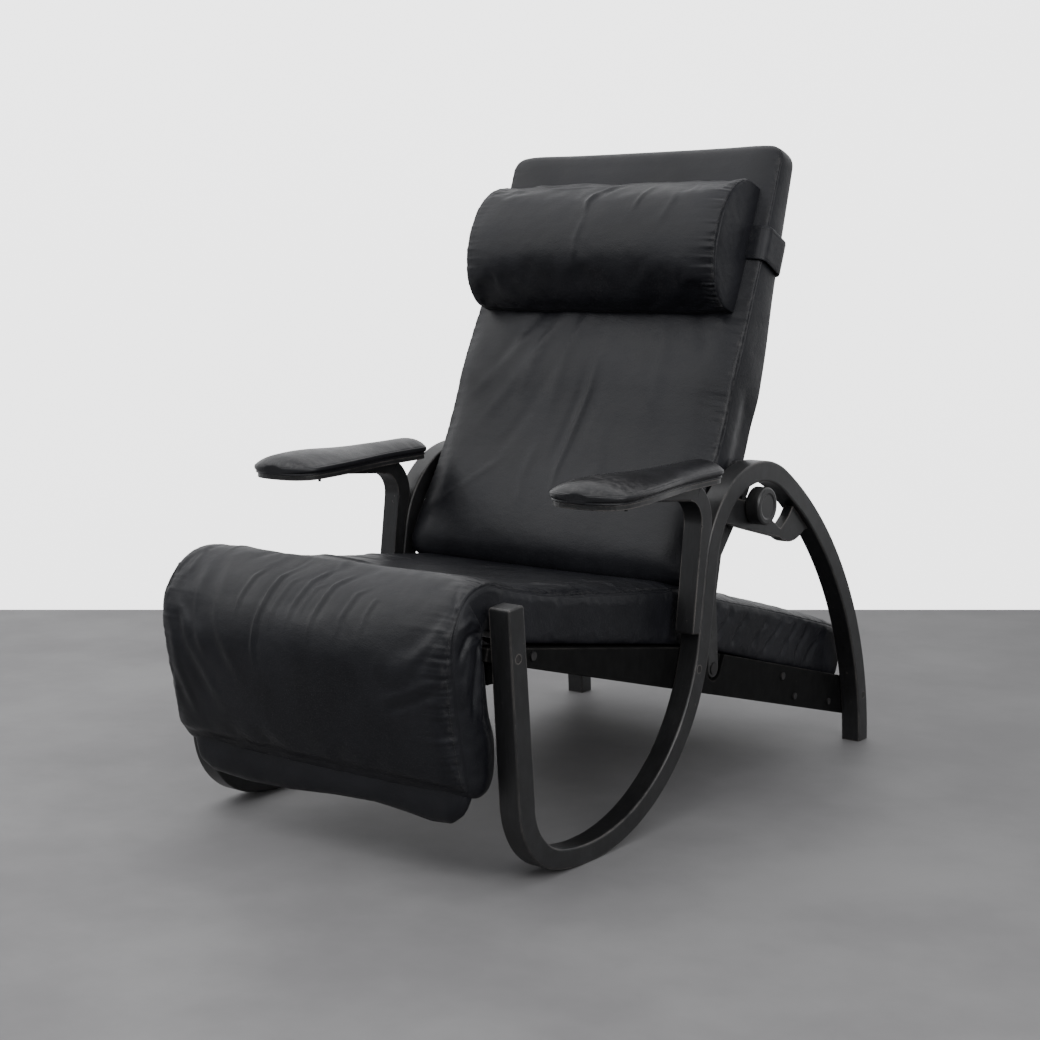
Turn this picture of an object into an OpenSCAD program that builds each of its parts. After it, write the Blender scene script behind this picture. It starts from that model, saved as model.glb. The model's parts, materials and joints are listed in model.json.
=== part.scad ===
// Bentwood lounge recliner with a sliding seat, a swinging leg rest and a lockable back.
// Origin: on the floor, in the centre plane, under the middle of the chair's length.
// +X is the sitter's left, -Y is the front, +Z is up. Millimetres.

/* [Frame] */
// Overall width over the two side frames
frame_w = 660; // [640:1:680]
// Width of a bentwood strip across the chair
strip_w = 36; // [32:1:36]
// Slope of the seat rails, falling to the rear, in degrees
rail_tilt = 14.9; // [14:0.1:15.5]
// Height of a seat rail
rail_h = 68; // [66:1:72]
// Thickness of a seat rail
rail_t = 20; // [18:1:20]
// Diameter of the bolt shanks in the frame
bolt_d = 6; // [5:0.5:8]

/* [Seat] */
// Travel of the seat along the rails
seat_travel = 120; // [100:5:120]
// Width of the seat cushion
seat_w = 566; // [550:2:566]
// Diameter of the guide pins that carry the seat
pin_d = 10; // [8:1:10]

/* [Leg rest] */
// Radius of the padded roll at the knee
knee_r = 86; // [80:1:88]
// Thickness of the leg rest cushion with its board
leg_t = 68; // [60:1:70]
// Length of the leg rest below its hinge
leg_l = 178; // [160:2:190]

/* [Back] */
// Width of the backrest
back_w = 558; // [540:2:560]
// Thickness of the backrest at its lower end
back_t_low = 82; // [76:1:84]
// Thickness of the backrest at its top
back_t_top = 38; // [36:1:42]
// Corner radius at the top of the backrest
back_corner_r = 30; // [20:1:60]
// Distance from the back's pivot to the lock bolt
lock_r = 272; // [270:1:274]

/* [Head pillow] */
// Width of the pillow
pillow_w = 520; // [480:2:530]
// Height of the pillow along the back
pillow_h = 222; // [200:2:230]
// Depth of the pillow out from the back
pillow_d = 114; // [95:1:120]

/* [Arms and knobs] */
// Length of an arm pad
arm_l = 354; // [344:2:364]
// Widest width of an arm pad, near its front
arm_w_front = 134; // [120:1:140]
// Width of an arm pad at its rear
arm_w_rear = 84; // [76:1:90]
// Diameter of a lock knob
knob_d = 62; // [56:1:64]
// Thickness of a lock knob
knob_t = 26; // [22:1:30]

/* [Hidden] */

$fn = 48;
eps = 0.01;
// Largest turn between two neighbouring points of a bent strip
arc_step = 2;
// Radial play of a turning or sliding pin, and of a fixed bolt
run_fit = 0.05;
bolt_fit = 0.2;
// Gap left between soft parts and their neighbours
soft_gap = 1;

black_wood = [0.07, 0.07, 0.075];
black_leather = [0.10, 0.10, 0.115];
dark_steel = [0.16, 0.16, 0.17];
pale_web = [0.45, 0.42, 0.36];

frame_x = frame_w / 2;
strip_x = frame_x - strip_w;
rail_x = strip_x - rail_t;
sides = [1, -1];

// ---------------------------------------------------------------- bent strips
// A strip is walked move by move. A move is [length, turn in degrees, thickness at its end].
// A station of the walk is [y, z, heading, thickness].
function arc_move(r, turn, t) = [r * abs(turn) * PI / 180, turn, t];
function line_move(l, t) = [l, 0, t];

function station(s, m, f) =
    let (h = s[2] + m[1] * f, t = s[3] + (m[2] - s[3]) * f, r = m[1] == 0 ? 0 : m[0] * 180 / (PI * m[1]))
    m[1] == 0
        ? [s[0] + m[0] * f * cos(h), s[1] + m[0] * f * sin(h), h, t]
        : [s[0] + r * (sin(h) - sin(s[2])), s[1] + r * (cos(s[2]) - cos(h)), h, t];

function walk(s, moves, i = 0) =
    i == len(moves) ? [] :
    let (n = max(1, ceil(abs(moves[i][1]) / arc_step)))
    concat(
        [for (k = [1 : n]) station(s, moves[i], k / n)],
        walk(station(s, moves[i], 1), moves, i + 1)
    );

// Point beside a station, at a share of the thickness to the left of the heading
function beside(s, share) = [s[0] - sin(s[2]) * s[3] * share, s[1] + cos(s[2]) * s[3] * share];

function strip_outline(start, moves) =
    let (w = concat([start], walk(start, moves)), n = len(w) - 1)
    concat([for (s = w) beside(s, 0.5)], [for (i = [n : -1 : 0]) beside(w[i], -0.5)]);

// Points on an arc about c, from angle a0 to a1
function arc_points(c, r, a0, a1, n = 12) =
    [for (k = [0 : n]) let (a = a0 + (a1 - a0) * k / n) c + r * [cos(a), sin(a)]];

// Outline of a flat link with a round end at each of two centres
function link_outline(p, rp, q, rq) =
    let (v = q - p, a = atan2(v[1], v[0]), b = acos((rp - rq) / norm(v)))
    concat(arc_points(q, rq, a - b, a + b, 16), arc_points(p, rp, a + b, a + 360 - b, 16));

// ---------------------------------------------------------------- helpers
// Draws a (y, z) outline and extrudes it along X from x to x + w
module across(x, w) {
    translate([x, 0, 0]) rotate([90, 0, 90]) linear_extrude(w) children();
}

// A round bar along X
module bar(x, w, y, z, r) {
    translate([x, y, z]) rotate([0, 90, 0]) cylinder(h = w, r = r);
}

// Draws its children for the left side (1) or mirrored for the right side (-1)
module on_side(s) {
    if (s > 0) children();
    else mirror([1, 0, 0]) children();
}

// ---------------------------------------------------------------- frame places
side_start = [-95, 402, -85, 32];
side_moves = [
    line_move(290, 36),
    arc_move(102, 72, 30),
    arc_move(312, 94, 34),
    line_move(126, 34),
    arc_move(151, -111, 34),
    arc_move(640, -30, 34),
    arc_move(576, -30, 34),
    line_move(7, 34)
];

// The seat rails' own frame: its origin is the knee of their top edge, and +Y runs to the rear
knee = [388, 262];
rail_front = -504;
rail_rear = 606;
rail_front_drop = 49;
rail_end_y = 950;

module along_rails() {
    translate([0, knee[0], knee[1]]) rotate([-rail_tilt, 0, 0]) children();
}

// Turns a point of the rails' frame into (y, z)
function rail_point(s, t) =
    knee + [s * cos(rail_tilt) + t * sin(rail_tilt), -s * sin(rail_tilt) + t * cos(rail_tilt)];

// Turns (y, z) into a point of the rails' frame
function to_rail(p) =
    let (d = p - knee)
    [d[0] * cos(rail_tilt) - d[1] * sin(rail_tilt), d[0] * sin(rail_tilt) + d[1] * cos(rail_tilt)];

post_bolt = rail_point(-480, -57);
sweep_bolt = rail_point(-9, -31);
foot_bolt = [937, 86];
frame_bolt_places = [post_bolt, sweep_bolt, foot_bolt];
head_r = 5.8;
head_t = 2.5;

front_rail_y = -88;
front_rail_z = 285;
// Cross rails, in the rails' frame: [start, width, lowest, highest]
middle_rail_box = [30, 26, -66, -38];
rear_rail_box = [368, 26, -66, -38];
tail_rail_box = [498, 26, -66, -38];
cross_boxes = [middle_rail_box, rear_rail_box, tail_rail_box];
cross_bolt_l = 45;

// Back pivot and lock, and the lean of the line between them at rest
pivot = [476, 212];
lock_lean = 14.9;
lock_bolt_r = 5;
lock_point = pivot + lock_r * [sin(lock_lean), cos(lock_lean)];
recline_max = 19;
bracket_x = frame_x - 44.5;
bracket_t = 6;
bracket_foot_r = 15;
ear_r = 36;
ear_point = pivot + [72, 298];
// The bracket keeps forward between its foot and its ear: [place, half width]
bracket_bends = [[pivot + [-7, 120], 13], [pivot + [6, 190], 15]];
pocket_r = 20;
pivot_r = 5;

// Guide pins, in the rails' frame
pin_r = pin_d / 2;
front_pin = [-400, -50];
rear_pin = [328, -19];

// ---------------------------------------------------------------- frame parts
module side_profile() {
    polygon(strip_outline(side_start, side_moves));
}

module floor_cut() {
    translate([-300, -600]) square([1600, 600]);
}

module side_frame(s) {
    color(black_wood) on_side(s) difference() {
        across(strip_x, strip_w) difference() {
            side_profile();
            floor_cut();
        }
        for (p = frame_bolt_places) {
            bar(strip_x - 1, strip_w + 2, p[0], p[1], bolt_d / 2 + bolt_fit);
            bar(frame_x - head_t - 0.5, 4, p[0], p[1], head_r + bolt_fit);
        }
    }
}

function rail_outline() = [
    [rail_front, -rail_h], [rail_rear, -rail_h], [rail_rear, 0], [0, 0], [rail_front, -rail_front_drop]
];

module seat_rail(s) {
    color(black_wood) on_side(s) difference() {
        along_rails() across(rail_x, rail_t) polygon(rail_outline());
        translate([rail_x - 1, rail_end_y, -50]) cube([rail_t + 2, 200, 400]);
        for (p = frame_bolt_places) bar(rail_x - 1, rail_t + 2, p[0], p[1], bolt_d / 2 + bolt_fit);
        along_rails() across(bracket_x - soft_gap, 30) pocket_profile();
        bar(rail_x - 1, rail_t + 2, pivot[0], pivot[1], pivot_r + bolt_fit);
        along_rails() {
            for (p = [front_pin, rear_pin]) bar(rail_x - 1, rail_t + 2, p[0], p[1], pin_r + bolt_fit);
            for (b = cross_boxes) cross_bolt_hole(b);
        }
    }
}

// Recess for the foot of a back bracket, open at the rail's top edge
module pocket_profile() {
    c = to_rail(pivot);
    polygon(concat(
        [[c[0] - pocket_r - 14, 10]],
        arc_points(c, pocket_r, 180, 360, 18),
        [[c[0] + pocket_r + 8, 10]]
    ));
}

function box_mid(b) = [b[0] + b[1] / 2, (b[2] + b[3]) / 2 + 2];

module cross_bolt_hole(b) {
    bar(rail_x - 1, rail_t + 2, box_mid(b)[0], box_mid(b)[1], bolt_d / 2 + bolt_fit);
}

module cross_rail(b) {
    color(black_wood) along_rails() difference() {
        translate([-rail_x, b[0], b[2]]) cube([2 * rail_x, b[1], b[3] - b[2]]);
        for (s = sides) on_side(s)
            bar(rail_x - cross_bolt_l + rail_t, cross_bolt_l, box_mid(b)[0], box_mid(b)[1], bolt_d / 2 + bolt_fit);
    }
}

// The front rail hangs level between the seat rails
module front_rail() {
    color(black_wood) translate([-rail_x, front_rail_y, front_rail_z]) cube([2 * rail_x, 24, 30]);
}

module frame_bolts() {
    color(dark_steel) for (s = sides, p = frame_bolt_places) on_side(s) {
        bar(rail_x + 1, frame_x - rail_x - 1 - head_t, p[0], p[1], bolt_d / 2);
        bar(frame_x - head_t, head_t - 0.3, p[0], p[1], head_r);
    }
}

module cross_bolts() {
    color(dark_steel) along_rails() for (s = sides, b = cross_boxes) on_side(s) {
        bar(rail_x - cross_bolt_l + rail_t + 1, cross_bolt_l - 1, box_mid(b)[0], box_mid(b)[1], bolt_d / 2);
        bar(strip_x, 3, box_mid(b)[0], box_mid(b)[1], head_r);
    }
}

bearer_t = 18;
bearer_x = rail_x - 4 - bearer_t;

module guide_pins() {
    color(dark_steel) along_rails() for (s = sides, p = [front_pin, rear_pin]) on_side(s) {
        bar(bearer_x - 4, strip_x - bearer_x + 4, p[0], p[1], pin_r);
        bar(bearer_x - 7, 4, p[0], p[1], pin_r + 2.5);
        bar(strip_x, 2.5, p[0], p[1], pin_r + 1.5);
    }
}

// ---------------------------------------------------------------- arms
arm_tilt = 1.8;
arm_front_y = 74;
arm_base_z = 512.5;
arm_board_t = 8;
arm_pad_t = 24;
arm_x = frame_x - 25;
nose_l = 50;
rear_round_l = 34;
neck_y = 270;

// Half width of the arm's plan at a distance from its front tip
function arm_half(d) =
    let (f = arm_w_front / 2, r = arm_w_rear / 2)
    d < nose_l ? f * pow(1 - pow(1 - d / nose_l, 2.6), 1 / 2.6) :
    d < neck_y ? r + (f - r) * (1 + cos(180 * (d - nose_l) / (neck_y - nose_l))) / 2 :
    d < arm_l - rear_round_l ? r :
    r * pow(max(0, 1 - pow((d - arm_l + rear_round_l) / rear_round_l, 2.4)), 1 / 2.4);

// Stations along the arm, closer together at both round ends
function arm_stations() = concat(
    [for (k = [0 : 9]) nose_l * pow(k / 10, 2)],
    [for (k = [0 : 14]) nose_l + (arm_l - rear_round_l - nose_l) * k / 14],
    [for (k = [1 : 9]) arm_l - rear_round_l * pow(1 - k / 9, 2)]
);

function arm_outline(inset) =
    let (d = arm_stations(), n = len(d) - 1)
    let (k = (arm_l - 2 * inset) / arm_l, kx = (arm_w_front - 2 * inset) / arm_w_front)
    concat(
        [for (i = [0 : n]) [arm_half(d[i]) * kx, inset + d[i] * k]],
        [for (i = [n - 1 : -1 : 1]) [-arm_half(d[i]) * kx, inset + d[i] * k]]
    );

module in_arm_frame() {
    translate([0, 0, arm_base_z]) rotate([arm_tilt, 0, 0]) children();
}

arm_screw_ys = [190, 300];
arm_screw_r = 2.5;
arm_screw_l = 22;

module arm_base(s) {
    color(black_wood) on_side(s) in_arm_frame() difference() {
        translate([arm_x, arm_front_y, 0]) linear_extrude(arm_board_t) polygon(arm_outline(3));
        for (y = arm_screw_ys)
            translate([frame_x - strip_w / 2, y, -1]) cylinder(h = 7, r = arm_screw_r + bolt_fit);
    }
}

module arm_pad(s) {
    color(black_leather) on_side(s) in_arm_frame() translate([arm_x, arm_front_y, arm_board_t + eps]) {
        linear_extrude(arm_pad_t - 9) polygon(arm_outline(0));
        translate([0, 0, 1]) linear_extrude(arm_pad_t - 5) polygon(arm_outline(6));
        translate([0, 0, 2]) linear_extrude(arm_pad_t - 2) polygon(arm_outline(14));
    }
}

support_start = [366, 290, 82.5, 30];
support_moves = [line_move(170, 32), arc_move(52, 96, 29), line_move(222, 6)];
support_w = strip_w - 3;

module arm_support(s) {
    color(black_wood) on_side(s) difference() {
        across(frame_x - support_w, support_w) difference() {
            polygon(strip_outline(support_start, support_moves));
            side_profile();
        }
        in_arm_frame() translate([frame_x - 60, -100, 0]) cube([100, 700, 60]);
        in_arm_frame() for (y = arm_screw_ys)
            translate([frame_x - strip_w / 2, y, -40]) cylinder(h = 50, r = arm_screw_r + bolt_fit);
    }
}

module arm_screws() {
    color(dark_steel) for (s = sides) on_side(s) in_arm_frame() for (y = arm_screw_ys)
        translate([frame_x - strip_w / 2, y, 5 - arm_screw_l]) cylinder(h = arm_screw_l, r = arm_screw_r);
}

// ---------------------------------------------------------------- lock plates
lock_plate_t = 18;
lock_plate_x = frame_x - strip_w / 2 - lock_plate_t / 2;
track_r = lock_r - lock_bolt_r - 0.6;

// A point seen from the back's pivot, at a lean from the vertical
function from_pivot(r, lean) = pivot + r * [sin(lean), cos(lean)];

module lock_profile() {
    polygon(concat(
        [[446, 458], [540, 434]],
        arc_points([672, 474], 74, 238, 306, 14),
        [[742, 418], [684, 468], [662, 444], from_pivot(track_r + 2, lock_lean + recline_max + 3)],
        [for (k = [0 : 16]) from_pivot(track_r, lock_lean + recline_max + 1.5 - k * 1.5)],
        [[514, 486], [500, 490], [456, 490]]
    ));
}

module lock_plate(s) {
    color(black_wood) on_side(s) across(lock_plate_x, lock_plate_t) difference() {
        lock_profile();
        side_profile();
    }
}

// ---------------------------------------------------------------- seat
seat_front_y = -98;
hinge = [-100, 345];
hinge_pin_r = 5;
seat_rear_y = 944;
bearer_front = -468;
bearer_rear = 545;
bearer_h_rear = 34;
slot_l = seat_travel + 6;

// Height of the rails' top edge, in their own frame
function rail_top(s) = s > 0 ? 0 : rail_front_drop * s / -rail_front;

module slot(p) {
    translate([bearer_x - 1, p[0], p[1]]) {
        translate([0, 0, -pin_r - run_fit]) cube([bearer_t + 2, slot_l, 2 * (pin_r + run_fit)]);
        for (y = [0, slot_l]) translate([0, y, 0]) rotate([0, 90, 0])
            cylinder(h = bearer_t + 2, r = pin_r + run_fit);
    }
}

hinge_plate_t = 5;
hinge_eye_r = 13;

module seat_bearer(s) {
    color(black_wood) on_side(s) along_rails() difference() {
        across(bearer_x, bearer_t) polygon([
            [bearer_front, -62], [-200, -62], [-120, -bearer_h_rear], [bearer_rear, -bearer_h_rear],
            [bearer_rear, 0], [0, 0], [bearer_front, rail_top(bearer_front)]
        ]);
        for (p = [front_pin, rear_pin]) slot(p);
    }
}

slat_w = 52;
slat_t = 10;
slat_places = [-288, -196, -104, 10, 106, 202, 298, 394, 490];
front_slat = -467;

// The front slat is shorter, because it stands between the hinge plates
module seat_slats() {
    color(black_wood) along_rails() {
        for (p = slat_places) slat(bearer_x, p);
        slat(seat_plate_x - eps, front_slat);
    }
}

module slat(half_w, p) {
    translate([-half_w, p, rail_top(p) - slat_t - 0.5]) cube([2 * half_w, slat_w, slat_t]);
}

// Side outline of the seat cushion: hollow behind the front roll, with a tail behind the back
function seat_outline() = [
    [seat_front_y, 361], [-60, 349], [-3, 330], rail_point(0, soft_gap) + [0, 1],
    rail_point(565, soft_gap), [seat_rear_y, 200], [901, 217], [770, 255],
    [630, 292], [504, 323], [440, 343], [394, 357], [265, 369], [159, 380],
    [53, 396], [-16, 413], [-70, 426], [seat_front_y, 430]
];

module seat_cushion() {
    color(black_leather) across(-seat_w / 2, seat_w) polygon(seat_outline());
}

seat_plate_x = bearer_x - hinge_plate_t;
leg_plate_x = seat_plate_x - hinge_plate_t - 0.5;
seat_plate_tail = rail_point(-440, -54);

module seat_hinge_plates() {
    color(dark_steel) for (s = sides) on_side(s) difference() {
        across(seat_plate_x, hinge_plate_t)
            polygon(link_outline(hinge, hinge_eye_r, seat_plate_tail, 9));
        bar(seat_plate_x - 1, hinge_plate_t + 2, hinge[0], hinge[1], hinge_pin_r + run_fit);
    }
}

// ---------------------------------------------------------------- leg rest
leg_board_t = 12;
leg_back_y = -118;
leg_front_y = leg_back_y - leg_t;
leg_low_z = hinge[1] - leg_l;
board_w = 500;

module knee_roll() {
    color(black_leather) across(-seat_w / 2, seat_w) polygon(concat(
        arc_points(hinge, knee_r, 92, 178, 20),
        arc_points(hinge, 20, 178, 92, 6)
    ));
}

// The cushion's front leans back towards its lower edge
module leg_cushion() {
    color(black_leather) difference() {
        across(-seat_w / 2, seat_w) polygon([
            [leg_back_y - 1, hinge[1] - 2], [leg_front_y + 1, hinge[1] - 2], [leg_front_y + 5, 280],
            [leg_front_y + 18, 206], [leg_front_y + 32, leg_low_z], [leg_front_y + 46, leg_low_z - 17],
            [leg_back_y, leg_low_z - 30], [leg_back_y + 22, leg_low_z - 22],
            [leg_back_y + 34, leg_low_z + 8], [leg_back_y + 30, 206], [leg_back_y + 14, 250],
            [leg_back_y, 300]
        ]);
        leg_board_blank(soft_gap);
    }
}

module leg_board_blank(gap) {
    w = board_w + 2 * gap;
    translate([-w / 2, leg_back_y - leg_board_t - gap, leg_low_z + 20 - gap])
        cube([w, leg_board_t + 40, hinge[1] - leg_low_z - 20 + gap]);
}

module leg_board() {
    color(black_wood) translate([-board_w / 2, leg_back_y - leg_board_t, leg_low_z + 20])
        cube([board_w, leg_board_t, hinge[1] - 30 - leg_low_z]);
}

// Soft edge that hangs below the leg cushion
module toe_roll() {
    toe_w = 530;
    color(black_leather) translate([-10, 0, 0]) across(-toe_w / 2, toe_w) polygon(concat(
        [[leg_front_y + 32, leg_low_z - 3]],
        arc_points([leg_front_y + 46, leg_low_z - 52], 15, 180, 360, 12),
        [[leg_back_y - 7, leg_low_z - 29], [leg_front_y + 46, leg_low_z - 20]]
    ));
}

leg_plate_foot = [leg_back_y + 6, 300];

module leg_hinge_plates() {
    color(dark_steel) for (s = sides) on_side(s) difference() {
        union() {
            across(leg_plate_x, hinge_plate_t)
                polygon(link_outline(hinge, hinge_eye_r, leg_plate_foot, 6));
            translate([leg_plate_x - 30, leg_back_y + eps, 262]) cube([30 + hinge_plate_t, 3, 50]);
            across(leg_plate_x, hinge_plate_t) polygon([
                [leg_back_y + eps, 262], [leg_back_y + 9, 262], [leg_back_y + 12, 312],
                [leg_back_y + eps, 312]
            ]);
        }
        bar(leg_plate_x - 1, hinge_plate_t + 2, hinge[0], hinge[1], hinge_pin_r + bolt_fit);
    }
}

module leg_hinge_pins() {
    color(dark_steel) for (s = sides) on_side(s) {
        bar(leg_plate_x - 3, bearer_x - leg_plate_x + 2, hinge[0], hinge[1], hinge_pin_r);
        bar(leg_plate_x - 5, 4, hinge[0], hinge[1], hinge_pin_r + 3);
    }
}

// ---------------------------------------------------------------- back
back_start = [440, 360, 60.5, back_t_low];
back_t_mid = 76;
back_upper_l = 440;
back_moves = [line_move(130, 79), arc_move(900, 11.5, back_t_mid), line_move(back_upper_l, back_t_top)];
back_mid = station(station(back_start, back_moves[0], 1), back_moves[1], 1);
back_end = station(back_mid, back_moves[2], 1);
back_frame_t = 24;
back_inner_w = back_w - 36;

// The back's walk with its outline moved in from the rear face, as (y, z) points
function back_walk() = concat([back_start], walk(back_start, back_moves));
function back_layer(from_rear, thick) =
    let (w = back_walk(), n = len(w) - 1)
    concat(
        [for (s = w) beside([s[0], s[1], s[2], 1], -s[3] / 2 + from_rear)],
        [for (i = [n : -1 : 0]) beside([w[i][0], w[i][1], w[i][2], 1], -w[i][3] / 2 + from_rear + thick)]
    );

// Rounds the top corners, seen square to the back
module back_front_mask(w) {
    translate([0, back_end[0], back_end[1]]) rotate([back_end[2] - 90, 0, 0]) rotate([90, 0, 0])
        translate([0, 0, -300]) linear_extrude(600) {
            translate([-w / 2, -900]) square([w, 900 - back_corner_r]);
            translate([-w / 2 + back_corner_r, -back_corner_r - 1]) square([w - 2 * back_corner_r, back_corner_r + 1]);
            for (s = sides) translate([s * (w / 2 - back_corner_r), -back_corner_r]) circle(back_corner_r);
        }
}

module back_cushion() {
    color(black_leather) difference() {
        intersection() {
            across(-back_w / 2, back_w) {
                polygon(strip_outline(back_start, back_moves));
                back_lip();
            }
            back_front_mask(back_w);
        }
        across(-back_inner_w / 2 - soft_gap, back_inner_w + 2 * soft_gap)
            intersection() {
                polygon(back_layer(-5, back_frame_t + 5 + soft_gap));
                frame_window(soft_gap);
            }
        for (s = sides, p = spacer_places) on_side(s)
            bar(back_inner_w / 2 - 2, 60, p[0], p[1], spacer_r + soft_gap);
    }
}

// The cushion's front edge reaches lower than its rear edge
module back_lip() {
    lip_l = 20;
    front = beside(back_start, 0.5);
    polygon([
        front, front - lip_l * [cos(back_start[2]), sin(back_start[2])], beside(back_start, -0.5),
        beside(station(back_start, back_moves[0], 0.1), 0)
    ]);
}

// Keeps the timber frame short of the cushion's lower and upper ends
module frame_window(gap) {
    low = station(back_start, back_moves[0], 0.23);
    top = station(back_mid, back_moves[2], 0.9);
    translate([low[0], low[1]]) rotate(low[2] - 90) translate([-400, -gap]) square([800, 330]);
    translate([top[0], top[1]]) rotate(top[2] - 90) translate([-400, -520]) square([800, 520 + gap]);
}

stile_w = 44;
panel_t = 2;

module back_stile(s) {
    color(black_wood) on_side(s) difference() {
        across(back_inner_w / 2 - stile_w, stile_w) intersection() {
            polygon(back_layer(panel_t + 1, back_frame_t - panel_t - 1));
            frame_window(0);
        }
        for (p = spacer_places) bar(back_inner_w / 2 - 25, 60, p[0], p[1], screw_r + bolt_fit);
    }
}

// Cross rails of the timber frame at shares of the walk
function rail_station(i) = i == 0
    ? station(back_start, back_moves[0], 0.3)
    : i == 1 ? back_mid : station(back_mid, back_moves[2], 0.77);

module back_rails() {
    w = back_inner_w - 2 * stile_w - 0.5;
    color(black_wood) for (i = [0 : 2]) {
        p = rail_station(i);
        translate([-w / 2, p[0], p[1]]) rotate([p[2] - 90, 0, 0])
            translate([0, p[3] / 2 - back_frame_t + 1, 0]) cube([w, back_frame_t - panel_t - 5, 46]);
    }
}

module back_webbing() {
    w = back_inner_w - 2 * stile_w - 0.5;
    color(pale_web) for (k = [1 : 3]) {
        p = station(back_mid, back_moves[2], k * 0.2);
        translate([-w / 2, p[0], p[1]]) rotate([p[2] - 90, 0, 0])
            translate([0, p[3] / 2 - 12, 0]) cube([w, 3, 50]);
    }
}

module back_panel() {
    color(black_leather) intersection() {
        across(-back_inner_w / 2, back_inner_w) intersection() {
            polygon(back_layer(0, panel_t));
            frame_window(0);
        }
        back_front_mask(back_inner_w);
    }
}

// A point in the middle of a stile, at a share of the back's lower straight
function stile_point(f) =
    let (s = station(back_start, back_moves[0], f))
    beside([s[0], s[1], s[2], 1], -s[3] / 2 + back_frame_t / 2 + 1);
spacer_places = [stile_point(0.85), stile_point(1.38)];
spacer_r = 8;
screw_r = 3;

module bracket_profile() {
    polygon(link_outline(pivot, bracket_foot_r, bracket_bends[0][0], bracket_bends[0][1]));
    polygon(link_outline(bracket_bends[0][0], bracket_bends[0][1], bracket_bends[1][0], bracket_bends[1][1]));
    polygon(link_outline(bracket_bends[1][0], bracket_bends[1][1], ear_point, ear_r));
}

module back_bracket(s) {
    color(dark_steel) on_side(s) difference() {
        across(bracket_x, bracket_t) bracket_profile();
        bar(bracket_x - 1, bracket_t + 2, pivot[0], pivot[1], pivot_r + run_fit);
        bar(bracket_x - 1, bracket_t + 2, lock_point[0], lock_point[1], lock_bolt_r + bolt_fit);
        for (p = spacer_places) bar(bracket_x - 1, bracket_t + 2, p[0], p[1], screw_r + bolt_fit);
    }
}

module bracket_spacers() {
    x = back_inner_w / 2 + eps;
    color(dark_steel) for (s = sides, p = spacer_places) on_side(s) difference() {
        bar(x, bracket_x - x - eps, p[0], p[1], spacer_r);
        bar(x - 1, bracket_x - x + 2, p[0], p[1], screw_r + bolt_fit);
    }
}

module bracket_screws() {
    color(dark_steel) for (s = sides, p = spacer_places) on_side(s) {
        bar(back_inner_w / 2 - 22, bracket_x + bracket_t - back_inner_w / 2 + 22, p[0], p[1], screw_r);
        bar(bracket_x + bracket_t + eps, 1.2, p[0], p[1], screw_r + 3);
    }
}

module pivot_bolts() {
    color(dark_steel) for (s = sides) on_side(s) {
        bar(rail_x + 1, bracket_x + bracket_t - rail_x - 0.8, pivot[0], pivot[1], pivot_r);
        bar(bracket_x + bracket_t + 0.2, 1.8, pivot[0], pivot[1], pivot_r + 5);
    }
}

// ---------------------------------------------------------------- lock bolts and knobs
knob_x = lock_plate_x + lock_plate_t + 0.6;
spacer_disc_r = 14;

module lock_bolts() {
    color(dark_steel) for (s = sides) on_side(s) {
        bar(bracket_x - 0.2, knob_x + knob_t - 8 - bracket_x, lock_point[0], lock_point[1], lock_bolt_r);
        bar(bracket_x - 3.2, 3.2, lock_point[0], lock_point[1], 9);
    }
}

module lock_spacers() {
    x = bracket_x + bracket_t + eps;
    color(dark_steel) for (s = sides) on_side(s) difference() {
        bar(x, lock_plate_x - 0.5 - x, lock_point[0], lock_point[1], spacer_disc_r);
        bar(x - 1, 20, lock_point[0], lock_point[1], lock_bolt_r + bolt_fit);
    }
}

// A turned wooden disc with a bevelled rim and a blind bore for the bolt
module knob(s) {
    rim = 4;
    r = knob_d / 2;
    color(black_wood) on_side(s) translate([knob_x, lock_point[0], lock_point[1]])
        rotate([0, 90, 0]) difference() {
            rotate_extrude($fn = 96) polygon(concat(
                [[0, 0], [r - rim, 0]],
                arc_points([r - rim, rim], rim, -90, 0, 6),
                arc_points([r - rim, knob_t - rim], rim, 0, 90, 6),
                [[r - 9, knob_t], [r - 12, knob_t - 1.2], [0, knob_t - 1.2]]
            ));
            translate([0, 0, -1]) cylinder(h = knob_t - 5, r = lock_bolt_r + run_fit);
        }
}

// ---------------------------------------------------------------- head pillow
pillow_low_share = 0.32;
strap_h = 62;
strap_t = 2.5;
strap_slack = 7;

// The pillow's frame: on the back's front face, +Z up along the face, -Y out from it
face_lean = back_end[2] - 90 - atan2((back_t_mid - back_t_top) / 2, back_upper_l);
pillow_low = beside(station(back_mid, back_moves[2], pillow_low_share), 0.5);

module on_back_face() {
    translate([0, pillow_low[0], pillow_low[1]]) rotate([face_lean, 0, 0]) children();
}

// D-shaped section: a flat base and a half ellipse
module head_pillow() {
    base = 36;
    color(black_leather) on_back_face() across(-pillow_w / 2, pillow_w)
        polygon(concat(
            [[-4.5, 0], [-4.5, pillow_h]],
            [for (k = [0 : 24]) let (a = 90 - k * 180 / 24)
                [-base - (pillow_d - base) * cos(a), pillow_h / 2 + pillow_h / 2 * sin(a)]]
        ));
}

strap_low = 92;

module pillow_strap() {
    in_w = back_w / 2 + 1.5;
    depth = back_t_mid - (back_t_mid - back_t_top) * (pillow_low_share + strap_low / back_upper_l);
    color(black_leather) on_back_face() translate([0, 0, strap_low]) difference() {
        translate([-in_w - strap_t, -1 - strap_t, 0])
            cube([2 * (in_w + strap_t), depth + strap_slack + 2 * strap_t, strap_h]);
        translate([-in_w, -1, -1]) cube([2 * in_w, depth + strap_slack, strap_h + 2]);
    }
}

// ---------------------------------------------------------------- nodes
// All places above are measured from under the front bends; this moves the origin to mid-length
mid_length_y = 386.945;

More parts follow.
